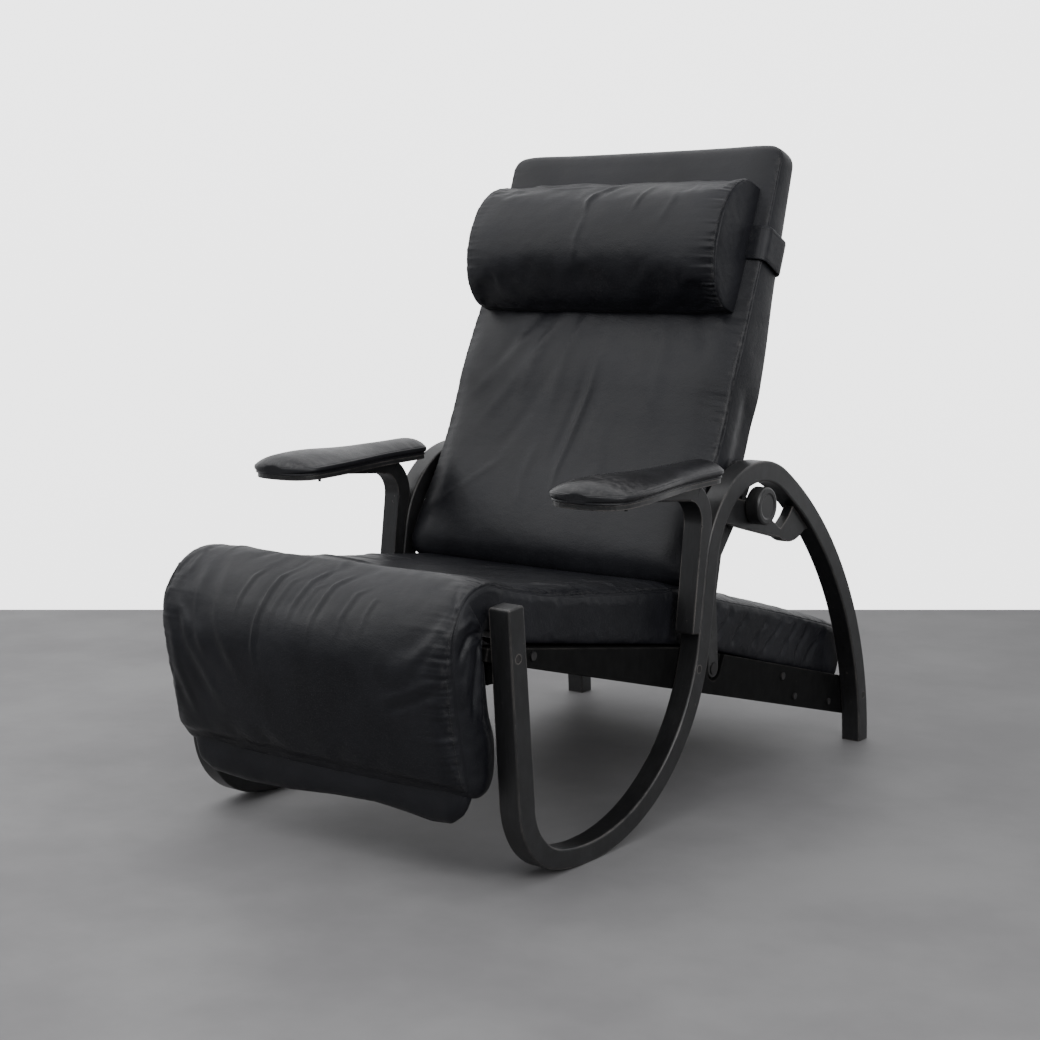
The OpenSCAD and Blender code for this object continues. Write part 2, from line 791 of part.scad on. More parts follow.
module placed() {
    translate([0, -mid_length_y, 0]) children();
}

placed() side_frame(1);  // side_frame_left
placed() side_frame(-1);  // side_frame_right
placed() seat_rail(1);  // seat_rail_left
placed() seat_rail(-1);  // seat_rail_right
placed() front_rail();
placed() cross_rail(middle_rail_box);  // middle_rail
placed() cross_rail(rear_rail_box);  // rear_rail
placed() cross_rail(tail_rail_box);  // tail_rail
placed() arm_support(1);  // arm_support_left
placed() arm_support(-1);  // arm_support_right
placed() arm_base(1);  // arm_base_left
placed() arm_base(-1);  // arm_base_right
placed() arm_pad(1);  // arm_pad_left
placed() arm_pad(-1);  // arm_pad_right
placed() arm_screws();
placed() lock_plate(1);  // lock_plate_left
placed() lock_plate(-1);  // lock_plate_right
placed() frame_bolts();
placed() cross_bolts();
placed() guide_pins();
placed() seat_bearer(1);  // seat_bearer_left
placed() seat_bearer(-1);  // seat_bearer_right
placed() seat_slats();
placed() seat_cushion();
placed() seat_hinge_plates();
placed() knee_roll();
placed() leg_board();
placed() leg_cushion();
placed() toe_roll();
placed() leg_hinge_plates();
placed() leg_hinge_pins();
placed() back_stile(1);  // back_stile_left
placed() back_stile(-1);  // back_stile_right
placed() back_rails();
placed() back_webbing();
placed() back_cushion();
placed() back_panel();
placed() back_bracket(1);  // back_bracket_left
placed() back_bracket(-1);  // back_bracket_right
placed() bracket_spacers();
placed() bracket_screws();
placed() pivot_bolts();
placed() lock_bolts();
placed() lock_spacers();
placed() knob(1);  // knob_left
placed() knob(-1);  // knob_right
placed() head_pillow();
placed() pillow_strap();
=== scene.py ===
"""Looks of the bentwood recliner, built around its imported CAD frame. Metres; +Z up, -Y front."""
import json
import math
import random

import bmesh
import bpy
import numpy as np
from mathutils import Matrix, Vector, noise


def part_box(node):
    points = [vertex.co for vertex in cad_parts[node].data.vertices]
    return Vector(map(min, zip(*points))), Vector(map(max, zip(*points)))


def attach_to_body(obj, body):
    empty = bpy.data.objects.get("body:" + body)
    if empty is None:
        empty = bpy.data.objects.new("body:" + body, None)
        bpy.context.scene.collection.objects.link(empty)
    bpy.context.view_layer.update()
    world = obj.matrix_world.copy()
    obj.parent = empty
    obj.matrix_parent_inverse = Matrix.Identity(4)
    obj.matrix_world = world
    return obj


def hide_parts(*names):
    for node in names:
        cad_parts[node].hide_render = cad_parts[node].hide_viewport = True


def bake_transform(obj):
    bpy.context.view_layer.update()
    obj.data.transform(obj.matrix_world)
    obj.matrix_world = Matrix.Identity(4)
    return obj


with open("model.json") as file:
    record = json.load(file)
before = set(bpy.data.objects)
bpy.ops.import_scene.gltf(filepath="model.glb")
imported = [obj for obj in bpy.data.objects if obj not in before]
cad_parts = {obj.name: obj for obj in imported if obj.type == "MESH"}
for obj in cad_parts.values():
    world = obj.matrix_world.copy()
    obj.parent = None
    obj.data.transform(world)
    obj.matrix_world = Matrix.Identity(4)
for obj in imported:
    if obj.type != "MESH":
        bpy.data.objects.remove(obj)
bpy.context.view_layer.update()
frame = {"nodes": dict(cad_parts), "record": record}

MM = 0.001
# The tables below are measured from under the front bends; the frame's origin is at mid-length
DY = -386.945

# ---- small maths helpers


def smooth(t):
    """Smooth step of t, clipped to 0..1."""
    t = np.clip(t, 0.0, 1.0)
    return t * t * (3 - 2 * t)


def lerp(a, b, t):
    return a + (b - a) * t


def bell(t):
    return np.exp(-t ** 2)


def quarter(t):
    """Quarter circle from 0 at t = 0 to 1 at t = 1."""
    return np.sqrt(1 - (1 - np.clip(t, 0, 1)) ** 2)


def round_off(away, depth, reach=None):
    """How far a face draws in as it rounds over an end that is away from it."""
    return depth * (1 - quarter(away / (reach or depth)))


def arc_length(p):
    """Length along a row of points up to each of them."""
    return np.r_[0, np.cumsum(np.linalg.norm(np.diff(p, axis=0), axis=1))]


def resample(points, step):
    """Rounds a table of rows by a spline over the length of its first two columns, and samples it."""
    p = np.array(points, float)
    d = arc_length(p[:, :2])
    m = np.gradient(p, d, axis=0)
    n = max(2, int(round(d[-1] / step)))
    q = np.linspace(0, 1, n + 1) * d[-1]
    i = np.clip(np.searchsorted(d, q, side="right") - 1, 0, len(d) - 2)
    h = (d[i + 1] - d[i])
    t = ((q - d[i]) / h)[:, None]
    h = h[:, None]
    return ((2 * t**3 - 3 * t**2 + 1) * p[i] + (t**3 - 2 * t**2 + t) * h * m[i]
            + (-2 * t**3 + 3 * t**2) * p[i + 1] + (t**3 - t**2) * h * m[i + 1])


def spread(n, dense=0.75):
    """n + 1 values from -1 to 1, closer together at both ends."""
    u = np.linspace(0, 1, n + 1)
    return 2 * (u - dense * np.sin(2 * math.pi * u) / (2 * math.pi)) - 1


def fbm(points, scale, octaves=3, seed=0.0):
    """Layered noise at each point, about -1 to 1."""
    out = np.zeros(len(points))
    for i, p in enumerate(points):
        q = Vector((p[0] * scale + seed, p[1] * scale - seed, p[2] * scale + 2 * seed))
        v, a = 0.0, 1.0
        for _ in range(octaves):
            v += a * noise.noise(q)
            q = q * 2.03
            a *= 0.5
        out[i] = v
    return out


def line_noise(values, scale, seed):
    """Noise along one coordinate."""
    return np.array([noise.noise(Vector((v * scale, seed, 1.7 * seed))) for v in values])


# Share of a fold's length over which each of its ends dies out
FOLD_END = 0.25


def fold(x, s, path, width, height):
    """A soft ridge, or a valley if the height is negative, along a path of (x, s) points."""
    pts = np.array(path, float)
    seg = np.diff(pts, axis=0)
    ln = np.hypot(seg[:, 0], seg[:, 1])
    total = ln.sum()
    best = np.full(x.shape, 1e9)
    along = np.zeros(x.shape)
    start = 0.0
    for a, v, l in zip(pts[:-1], seg, ln):
        t = np.clip(((x - a[0]) * v[0] + (s - a[1]) * v[1]) / (l * l), 0, 1)
        d = np.hypot(x - a[0] - t * v[0], s - a[1] - t * v[1])
        near = d < best
        best = np.where(near, d, best)
        along = np.where(near, start + t * l, along)
        start += l
    f = along / total
    taper = smooth(f / FOLD_END) * smooth((1 - f) / FOLD_END)
    return height * bell(best / width) * (0.15 + 0.85 * taper)


def add_folds(d, x, s, table):
    """Adds folds to d in place; each has a path in metres, and a width and a height in mm."""
    for path, width, height in table:
        d += fold(x, s, path, width * MM, height * MM)


def shifted(path, by):
    return [(a + by, q) for a, q in path]


def gather(along, away, pitch, depth, reach, seed):
    """Short puckers that run away from a seam and die out at about reach."""
    v = line_noise(along, 1 / pitch, seed) + 0.6 * line_noise(along, 2.1 / pitch, seed + 9)
    length = reach * (0.6 + 0.8 * np.abs(line_noise(along, 0.6 / pitch, seed + 4)))
    rise = 1 - np.exp(-(away / (0.16 * reach)))
    return depth * v * np.exp(-(away / length) ** 1.4) * rise


# ---- meshes


def new_mesh(name, verts, faces):
    me = bpy.data.meshes.new(name)
    me.from_pydata([tuple(v) for v in verts], [], [tuple(int(i) for i in f) for f in faces])
    me.validate()
    me.update()
    o = bpy.data.objects.new(name, me)
    bpy.context.scene.collection.objects.link(o)
    return o


class Block:
    """The skin of a box of ns x nw x nt cells: s along the piece, w across it, t from underside to top."""

    def __init__(self, ns, nw, nt):
        self.ns, self.nw, self.nt = ns, nw, nt
        self.index = {}
        for i in range(ns + 1):
            for j in range(nw + 1):
                if i in (0, ns) or j in (0, nw):
                    ks = range(nt + 1)
                else:
                    ks = (0, nt)
                for k in ks:
                    self.index[(i, j, k)] = len(self.index)
        self.ijk = np.array(list(self.index.keys()))
        ix = self.index
        f = []
        for i in range(ns):
            for j in range(nw):
                f.append((ix[i, j, nt], ix[i, j + 1, nt], ix[i + 1, j + 1, nt], ix[i + 1, j, nt]))
                f.append((ix[i, j, 0], ix[i + 1, j, 0], ix[i + 1, j + 1, 0], ix[i, j + 1, 0]))
        for i in range(ns):
            for k in range(nt):
                f.append((ix[i, 0, k], ix[i, 0, k + 1], ix[i + 1, 0, k + 1], ix[i + 1, 0, k]))
                f.append((ix[i, nw, k], ix[i + 1, nw, k], ix[i + 1, nw, k + 1], ix[i, nw, k + 1]))
        for j in range(nw):
            for k in range(nt):
                f.append((ix[0, j, k], ix[0, j + 1, k], ix[0, j + 1, k + 1], ix[0, j, k + 1]))
                f.append((ix[ns, j, k], ix[ns, j, k + 1], ix[ns, j + 1, k + 1], ix[ns, j + 1, k]))
        self.faces = f

    def lines(self, js, k, trim):
        """Vertex numbers along s at some places across, less a few at both ends."""
        return [[self.index[i, j, k] for i in range(trim, self.ns + 1 - trim)] for j in js]


def outward(o):
    """Makes a closed mesh's faces point outwards."""
    bm = bmesh.new()
    bm.from_mesh(o.data)
    bmesh.ops.recalc_face_normals(bm, faces=bm.faces)
    bm.to_mesh(o.data)
    bm.free()
    o.data.update()


def pull(data, name, width=1):
    """One value or vector per item of a mesh's data, as an array."""
    out = np.zeros(len(data) * width, np.float32)
    data.foreach_get(name, out)
    return out.reshape(-1, width).astype(float)


def normals_of(o):
    return pull(o.data.vertex_normals, "vector", 3)


def coords(o):
    return pull(o.data.vertices, "co", 3)


def set_coords(o, c):
    o.data.vertices.foreach_set("co", np.asarray(c, np.float32).ravel())
    o.data.update()


def moved_out(o, d):
    """Points moved d along their normals."""
    return coords(o) + normals_of(o) * d[:, None]


def apply_all(o):
    """Replaces the mesh by its evaluated one, and drops the modifiers."""
    dg = bpy.context.evaluated_depsgraph_get()
    dg.update()
    me = bpy.data.meshes.new_from_object(o.evaluated_get(dg))
    old = o.data
    o.modifiers.clear()
    o.data = me
    me.name = old.name
    bpy.data.meshes.remove(old)


def subdivide(o, levels):
    m = o.modifiers.new("Subdivision", "SUBSURF")
    m.levels = m.render_levels = levels
    m.boundary_smooth = "ALL"
    apply_all(o)


def evened(o, moved, held, rounds):
    """Averages each free vertex's move with its neighbours' a few times."""
    e = np.array([edge.vertices[:] for edge in o.data.edges])
    count = np.bincount(e.ravel(), minlength=len(moved))[:, None]
    for _ in range(rounds):
        near = np.zeros_like(moved)
        np.add.at(near, e[:, 0], moved[e[:, 1]])
        np.add.at(near, e[:, 1], moved[e[:, 0]])
        moved = np.where(held[:, None], moved, 0.5 * moved + 0.5 * near / count)
    return moved


PUFF_FRAMES = 14
PUFF_CAP = 6 * MM
PUFF_STIFFNESS = 8.0


def puff(o, pinned, pressure, grow, rounds=0):
    """Inflates a closed mesh with Cloth, held at each vertex's pinned share; caps how far a point moves."""
    rest = coords(o)
    g = o.vertex_groups.new(name="pin")
    levels = np.round(pinned, 2)
    for v in np.unique(levels):
        if v > 0:
            g.add([int(i) for i in np.nonzero(levels == v)[0]], float(v), "REPLACE")
    c = o.modifiers.new("Cloth", "CLOTH")
    c.point_cache.frame_start, c.point_cache.frame_end = 1, PUFF_FRAMES
    st = c.settings
    st.quality = 4
    st.mass = 0.3
    st.tension_stiffness = st.compression_stiffness = PUFF_STIFFNESS
    st.shear_stiffness = PUFF_STIFFNESS * 0.5
    st.bending_stiffness = 0.6
    st.use_pressure = True
    st.uniform_pressure_force = pressure
    st.shrink_min = -grow
    st.vertex_group_mass = "pin"
    st.pin_stiffness = 1.0
    st.effector_weights.gravity = 0
    c.collision_settings.use_collision = False
    c.collision_settings.use_self_collision = False
    for f in range(1, PUFF_FRAMES + 1):
        bpy.context.scene.frame_set(f)
    moved = coords(o.evaluated_get(bpy.context.evaluated_depsgraph_get())) - rest
    o.modifiers.clear()
    o.vertex_groups.clear()
    bpy.context.scene.frame_set(1)
    size = np.linalg.norm(moved, axis=1)
    scale = np.where(size > 1e-9, PUFF_CAP * np.tanh(size / PUFF_CAP) / np.maximum(size, 1e-9), 0)
    set_coords(o, rest + evened(o, moved * scale[:, None], pinned > 0.99, rounds))


def inflate(o, b, walls, ends, **cloth):
    """Puffs up a Block with its underside and seams held, and its side walls and ends held partly."""
    i, j, k = b.ijk.T
    side = (j == 0) | (j == b.nw)
    pinned = np.where(side, walls, 0.0)
    pinned[(k == 0) | (side & (k == b.nt))] = 1.0
    pinned[(i == 0) | (i == b.ns)] = ends
    puff(o, pinned, **cloth)


def on_panel(flank, t):
    """Which points of a refined Block are on its side panels, between the seams."""
    return (flank > 0.75) & (t > 0.02) & (t < 0.985)


def displaced(o, d, x, flank, t, seam):
    """Points moved d along their normals, with the top seams drawn in by so many mm."""
    c = moved_out(o, d)
    c[:, 0] -= np.where((flank > 0.9) & (t > 0.985), np.sign(x) * seam * MM, 0)
    return c


def store(o, name, values):
    """Keeps one number or one vector per vertex, for the materials."""
    values = np.asarray(values, np.float32)
    kind = "FLOAT" if values.ndim == 1 else "FLOAT_VECTOR"
    a = o.data.attributes.get(name) or o.data.attributes.new(name, kind, "POINT")
    a.data.foreach_set("value" if values.ndim == 1 else "vector", values.ravel())


def refine(o, levels, **fields):
    """A subdivision that carries numbers kept per vertex, and returns them for the finer mesh."""
    for name, values in fields.items():
        store(o, "f_" + name, values)
    subdivide(o, levels)
    out = [pull(o.data.attributes["f_" + name].data, "value")[:, 0] for name in fields]
    for name in fields:
        o.data.attributes.remove(o.data.attributes["f_" + name])
    return out


def dress_soft(o, wear, slot, levels=0):
    """Subdivides a soft piece if asked, and gives it its material with the wear and rest places it reads."""
    store(o, "wear", np.clip(wear, 0, 1) * np.ones(len(o.data.vertices)))
    if levels:
        subdivide(o, levels)
    store(o, "rest", coords(o))
    o.data.shade_smooth()
    o.data.materials.append(MATS[slot])


def attach(body, slot, *pieces):
    for piece in pieces:
        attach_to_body(piece, body)


def thread_rows(o, lines, lift):
    """Rows for stitches along lines of vertex numbers; refining a mesh keeps its first vertices' numbers."""
    n, c = normals_of(o), coords(o)
    return [(c[ids] + n[ids] * lift * MM, n[ids]) for ids in lines]


def stitches(name, rows, pitch=4.2 * MM, length=3.0 * MM, r=0.42 * MM):
    """Small rounded thread ends along each row, which is (points, normals)."""
    verts, faces = [], []
    for pts, nrm in rows:
        pts, nrm = np.array(pts, float), np.array(nrm, float)
        d = arc_length(pts)
        for q in np.arange(pitch, d[-1] - pitch, pitch):
            a, b, n = (np.array([np.interp(e, d, column) for column in table.T])
                       for e, table in ((q - length / 2, pts), (q + length / 2, pts), (q, nrm)))
            n /= np.linalg.norm(n) + 1e-9
            v = (b - a) / (np.linalg.norm(b - a) + 1e-9)
            w = np.cross(n, v)
            base = len(verts)
            for f, k in ((0.0, 0.45), (0.25, 1.0), (0.75, 1.0), (1.0, 0.45)):
                c = a + (b - a) * f
                for ang in (0, 60, 120, 180, 240, 300):
                    t = math.radians(ang)
                    verts.append(c + (n * math.sin(t) * 0.8 + w * math.cos(t)) * r * k)
            for m in range(3):
                for i in range(6):
                    here, there = base + m * 6 + i, base + m * 6 + (i + 1) % 6
                    faces.append((here, there, there + 6, here + 6))
            faces.append([base + i for i in range(5, -1, -1)])
            faces.append([base + 18 + i for i in range(6)])
    o = new_mesh(name, verts, faces)
    outward(o)
    o.data.shade_smooth()
    o.data.materials.append(THREAD)
    store(o, "rest", coords(o))
    return o


# ---- materials


class Nodes:
    """A short way to write a node tree."""

    def __init__(self, name):
        self.mat = bpy.data.materials.new(name)
        self.mat.use_nodes = True
        self.t = self.mat.node_tree
        self.t.nodes.clear()
        self.out = self.add("OutputMaterial")
        self.bsdf = self.add("BsdfPrincipled")
        self.link(self.bsdf.outputs[0], self.out.inputs[0])

    def add(self, kind, **props):
        n = self.t.nodes.new("ShaderNode" + kind)
        for k, v in props.items():
            setattr(n, k, v)
        return n

    def link(self, a, b):
        self.t.links.new(a, b)

    def put(self, sock, value):
        if hasattr(value, "is_output"):
            self.link(value, sock)
        else:
            sock.default_value = value

    def attr(self, name):
        return self.add("Attribute", attribute_name=name)

    def place(self):
        return self.add("TexCoord").outputs["Object"]

    def tex(self, kind, vec, props=None, **values):
        """A node that is fed a vector; the values are for its other inputs."""
        n = self.add(kind, **(props or {}))
        self.link(vec, n.inputs["Vector"])
        for k, v in values.items():
            n.inputs[k].default_value = v
        return n

    def mapped(self, vec, scale):
        return self.tex("Mapping", vec, Scale=scale).outputs[0]

    def noise(self, vec, scale, detail=3.0, rough=0.55):
        return self.tex("TexNoise", vec, Scale=scale, Detail=detail, Roughness=rough).outputs[0]

    def voronoi(self, vec, scale, feature="F1"):
        return self.tex("TexVoronoi", vec, {"feature": feature}, Scale=scale).outputs["Distance"]

    def ramp(self, value, low, high, a=0.0, b=1.0):
        n = self.add("MapRange", interpolation_type="SMOOTHSTEP")
        self.put(n.inputs["Value"], value)
        for k, v in zip(("From Min", "From Max", "To Min", "To Max"), (low, high, a, b)):
            n.inputs[k].default_value = v
        return n.outputs[0]

    def math(self, op, a, b=0.0):
        n = self.add("Math", operation=op)
        self.put(n.inputs[0], a)
        self.put(n.inputs[1], b)
        return n.outputs[0]

    def times(self, a, b):
        return self.math("MULTIPLY", a, b)

    def mix(self, f, a, b):
        n = self.add("Mix", data_type="RGBA")
        self.put(n.inputs[0], f)
        self.put(n.inputs[6], a)
        self.put(n.inputs[7], b)
        return n.outputs[2]

    def bump(self, height, distance, strength=1.0, normal=None):
        n = self.add("Bump")
        self.put(n.inputs["Height"], height)
        n.inputs["Distance"].default_value = distance
        n.inputs["Strength"].default_value = strength
        if normal is not None:
            self.link(normal, n.inputs["Normal"])
        return n.outputs[0]

    def edge(self, radius):
        """How far the surface turns within a small radius: high on edges, which the wood paints pale as
        rubbed wear and as a painted highlight.
        """
        b = self.add("Bevel", samples=4)
        b.inputs["Radius"].default_value = radius
        g = self.add("NewGeometry")
        d = self.add("VectorMath", operation="DOT_PRODUCT")
        self.link(b.outputs[0], d.inputs[0])
        self.link(g.outputs["Normal"], d.inputs[1])
        return self.math("SUBTRACT", 1.0, d.outputs["Value"])

    def set(self, **values):
        for k, v in values.items():
            self.put(self.bsdf.inputs[k.replace("_", " ")], v)


def grey(v, r=0.0, g=0.0, b=0.0):
    return (v + r, v + g, v + b, 1.0)


def leather(name, dark, light, rough, grain=1.0, shine=0.0):
    m = Nodes(name)
    p = m.attr("rest").outputs["Vector"]
    wear = m.attr("wear").outputs["Fac"]
    cloud = m.noise(p, 7.0, 4.0, 0.6)
    fine = m.noise(p, 95.0, 5.0, 0.65)
    base = m.mix(m.ramp(cloud, 0.35, 0.7), dark, light)
    scuff = m.times(m.ramp(fine, 0.42, 0.72), m.ramp(wear, 0.1, 1.0))
    worn = m.mix(m.noise(p, 22.0), grey(0.035), grey(0.07, 0.004, 0, 0))
    m.set(Base_Color=m.mix(m.times(scuff, 0.7), base, worn))
    patchy = m.ramp(m.noise(p, 14.0, 5.0, 0.7), 0.3, 0.75, rough - 0.06, rough + 0.09)
    m.set(Roughness=m.math("ADD", patchy, m.times(scuff, 0.12)))
    cells = m.voronoi(p, 620.0)
    pebble = m.ramp(cells, 0.05, 0.75)
    stretch = m.noise(m.mapped(p, (1.0, 1.6, 1.6)), 38.0, 4.0, 0.6)
    lines = m.voronoi(p, 150.0, "DISTANCE_TO_EDGE")
    crack = m.ramp(lines, 0.0, 0.09)
    n1 = m.bump(stretch, 1.1 * MM, 0.55)
    n2 = m.bump(crack, 0.12 * MM, 0.35 * grain, n1)
    n3 = m.bump(pebble, 0.16 * MM, 0.5 * grain, n2)
    m.set(Normal=n3)
    m.set(Specular_IOR_Level=0.25 + shine * 0.3, Coat_Weight=shine * 0.25, Coat_Roughness=0.3)
    return m.mat


# wear scales the pale edges and spots; on the edges the pale colour is partly rubbed wear and partly a
# painted highlight
def wood(name, dark, light, rough, wear=1.0, edge_radius=3.6 * MM, gloss=0.5):
    m = Nodes(name)
    p = m.place()
    grain = m.noise(m.mapped(p, (90.0, 16.0, 9.0)), 4.0, 5.0, 0.6)
    cloud = m.noise(p, 11.0, 4.0)
    base = m.mix(m.ramp(grain, 0.3, 0.75), dark, light)
    rub = m.ramp(m.noise(p, 15.0, 5.0, 0.7), 0.36, 0.62)
    # pale edges: partly rubbed wear, partly a painted highlight of the rounded edges
    edges = m.times(m.ramp(m.edge(edge_radius), 0.01, 0.10), rub)
    specks = m.ramp(m.noise(p, 210.0, 2.0, 0.5), 0.715, 0.76)
    marks = m.ramp(m.noise(m.mapped(p, (26.0, 40.0, 6.0)), 3.0, 5.0, 0.75), 0.66, 0.78)
    spots = m.math("MAXIMUM", specks, m.times(marks, 0.5))
    spots = m.times(spots, m.ramp(cloud, 0.4, 0.65))
    # pale colour of the specks and the edges; on the edges it is also a painted highlight
    pale = grey(0.17, 0.02, 0.0, -0.015)
    worn = m.times(m.math("MAXIMUM", edges, m.times(spots, 0.55)), wear)
    worn = m.math("MINIMUM", worn, 1.0)
    m.set(Base_Color=m.mix(m.times(worn, 0.62), base, pale))
    patchy = m.ramp(cloud, 0.3, 0.7, rough - 0.05, rough + 0.08)
    m.set(Roughness=m.math("ADD", patchy, m.times(worn, 0.15)))
    n1 = m.bump(grain, 0.12 * MM, 0.5)
    n2 = m.bump(m.noise(p, 130.0, 3.0), 0.12 * MM, 0.4, n1)
    m.set(Normal=n2)
    m.set(Specular_IOR_Level=gloss, Coat_Weight=0.24 * gloss, Coat_Roughness=0.25)
    return m.mat


def steel(name, dark, rust, rough, metal):
    m = Nodes(name)
    p = m.place()
    n = m.noise(p, 160.0, 4.0, 0.65)
    spots = m.ramp(n, 0.45, 0.66)
    m.set(Base_Color=m.mix(spots, dark, rust))
    m.set(Metallic=m.times(m.math("SUBTRACT", 1.0, spots), metal))
    m.set(Roughness=m.ramp(n, 0.3, 0.7, rough, rough + 0.25))
    m.set(Normal=m.bump(n, 0.1 * MM, 0.4))
    return m.mat


def weave(name, a, b):
    m = Nodes(name)
    p = m.place()
    bands = [m.tex("TexWave", p, {"wave_type": "BANDS", "bands_direction": way}, Scale=130.0,
                   Distortion=0.6).outputs["Fac"] for way in "XZ"]
    h = m.math("MAXIMUM", *bands)
    m.set(Base_Color=m.mix(h, a, b), Roughness=0.9)
    m.set(Normal=m.bump(h, 0.5 * MM, 0.7))
    return m.mat


def thread(name, colour):
    m = Nodes(name)
    p = m.attr("rest").outputs["Vector"]
    n = m.noise(p, 900.0, 2.0)
    m.set(Base_Color=m.mix(n, colour, grey(0.018)), Roughness=0.6)
    m.set(Normal=m.bump(n, 0.1 * MM, 0.5))
    return m.mat


# How much brighter the wall looks to the camera than it lights the chair
CAMERA_GLOW = 5.5


def plain(name, colour, tint, scale, rough, glow=0.0):
    """A pale studio surface; one that glows is seen only from its front."""
    m = Nodes(name)
    p = m.place()
    base = m.mix(m.ramp(m.noise(p, scale, 5.0, 0.6), 0.3, 0.7), colour, tint)
    if not glow:
        # the floor darkens away from the key light
        spot = m.add("SeparateXYZ")
        m.link(p, spot.inputs[0])
        far = m.ramp(m.math("ADD", spot.outputs[0], spot.outputs[1]), -1.6, 2.6, 0.0, 0.45)
        base = m.mix(far, base, grey(0.05))
    m.set(Base_Color=base, Roughness=rough)
    if glow:
        seen = m.times(m.add("LightPath").outputs["Is Camera Ray"], CAMERA_GLOW * glow)
        m.set(Emission_Color=tint, Emission_Strength=m.math("ADD", seen, glow))
        m.set(Alpha=m.math("SUBTRACT", 1.0, m.add("NewGeometry").outputs["Backfacing"]))
    return m.mat


LEATHER_DARK = grey(0.0055, 0, 0.0002, 0.002)
LEATHER_LIGHT = grey(0.0105, 0, 0.0003, 0.003)
MATS = {
    "frame_wood": wood("frame_wood", grey(0.006), grey(0.012, 0, 0, 0.001), 0.40, 1.25),
    # the rail wood is darker and more matte than the frame wood: painted shade for the rails' place under
    # the seat
    "rail_wood": wood("rail_wood", grey(0.0025), grey(0.005), 0.62, 0.25, gloss=0.08),
    "slat_wood": wood("slat_wood", grey(0.008, 0.002), grey(0.016, 0.004, 0.001), 0.6, 0.3, gloss=0.2),
    "knob_wood": wood("knob_wood", grey(0.008), grey(0.014), 0.36, 0.6, 1.6 * MM),
    "seat_leather": leather("seat_leather", LEATHER_DARK, LEATHER_LIGHT, 0.40),
    "back_leather": leather("back_leather", LEATHER_DARK, LEATHER_LIGHT, 0.40),
    "arm_leather": leather("arm_leather", grey(0.006, b=0.001), grey(0.010, b=0.002), 0.34, 0.8, 0.25),
    "bolt_steel": steel("bolt_steel", grey(0.018), grey(0.012, 0.003), 0.42, 0.5),
    "bracket_steel": steel("bracket_steel", grey(0.012), grey(0.03), 0.42, 0.0),
    "webbing": weave("webbing", grey(0.010), grey(0.024, 0.001)),
}
THREAD = thread("thread", grey(0.008))

SLOTS = {p["node"]: p["material_slot"] for p in frame["record"]["subparts"]}

# ---- hard parts of the frame

# Radius of the rounded edges by material, in mm
ROUNDED = {"frame_wood": 3.2, "rail_wood": 2.0, "slat_wood": 2.0, "bracket_steel": 0.8}
# An edge is rounded if it turns by more than this and is longer than a facet of a bore
SHARP = math.cos(math.radians(32))
FACET = 1.6 * MM


def mark_edges(mesh):
    """Weights the sharp edges for the bevel, and marks the rims of bores, which stay sharp."""
    c = np.array([v.co[:] for v in mesh.vertices])
    key = [tuple(v) for v in np.round(c / (0.02 * MM)).astype(int)]
    normals = {}
    for f in mesh.polygons:
        ring = list(f.vertices)
        for a, b in zip(ring, ring[1:] + ring[:1]):
            normals.setdefault(frozenset((key[a], key[b])), []).append(f.normal.copy())
    weights = np.zeros(len(mesh.edges), np.float32)
    bores = np.zeros(len(mesh.edges), bool)
    for n, e in enumerate(mesh.edges):
        a, b = e.vertices
        pair = normals.get(frozenset((key[a], key[b])), [])
        if len(pair) == 2 and pair[0].dot(pair[1]) < SHARP:
            rounded = np.linalg.norm(c[a] - c[b]) > FACET
            weights[n] = rounded
            bores[n] = not rounded
    for name, kind, values in (("bevel_weight_edge", "FLOAT", weights), ("sharp_edge", "BOOLEAN", bores)):
        layer = mesh.attributes.get(name) or mesh.attributes.new(name, kind, "EDGE")
        layer.data.foreach_set("value", values)


def dress(o, slot, width):
    """Gives a hard CAD part its material and rounded edges; its mesh stays as it is."""
    o.data.materials.clear()
    o.data.materials.append(MATS[slot])
    if not width:
        return
    mark_edges(o.data)
    w = o.modifiers.new("Weld", "WELD")
    w.merge_threshold = 0.02 * MM
    b = o.modifiers.new("Bevel", "BEVEL")
    b.width = width * MM
    b.segments = 3
    b.limit_method = "WEIGHT"
    b.use_clamp_overlap = True
    b.harden_normals = False
    n = o.modifiers.new("Normals", "WEIGHTED_NORMAL")
    n.keep_sharp = True


for node_name, node_object in frame["nodes"].items():
    slot_name = SLOTS[node_name]
    dress(node_object, slot_name, ROUNDED.get(slot_name, 0))

# ---- seat and leg rest cover

HINGE = np.array([-100.0, 345.0])
KNEE_R = 83.0
SEAT_HALF = 283.0
LEG_BOARD_HALF = 257.0
LEG_LIMIT = 291.5
PANEL_HEIGHT = 0.066

# Side view of the cover in mm from the leg rest's lower end: y and z of its top, y and z of its underside
seat_rows = [
    (-140, 137, -98, 127), (-149, 168, -84, 158), (-160, 212, -82, 208), (-170, 262, -98, 252),
    (-176, 310, -112, 305),
]
for ang in (180, 165, 150, 135, 120, 105, 90):
    v = np.array([math.cos(math.radians(ang)), math.sin(math.radians(ang))])
    seat_rows.append((*(HINGE + (KNEE_R - 6 * (ang - 90) / 90) * v), *(HINGE + 20 * v)))
seat_rows += [
    (-60, 419, -62, 350), (-16, 408, -22, 335.5), (53, 393, 50, 322.5), (159, 378, 157, 304),
    (265, 367, 265, 286), (345, 359, 340, 273), (410, 350, 400, 261), (460, 336, 455, 247),
    (504, 322, 504, 234), (630, 290, 630, 198.5), (770, 253, 770, 160), (890, 219, 885, 129),
    (941, 201, 934, 117),
]
seat_rows = [(a + DY, b, c + DY, d) for a, b, c, d in seat_rows]
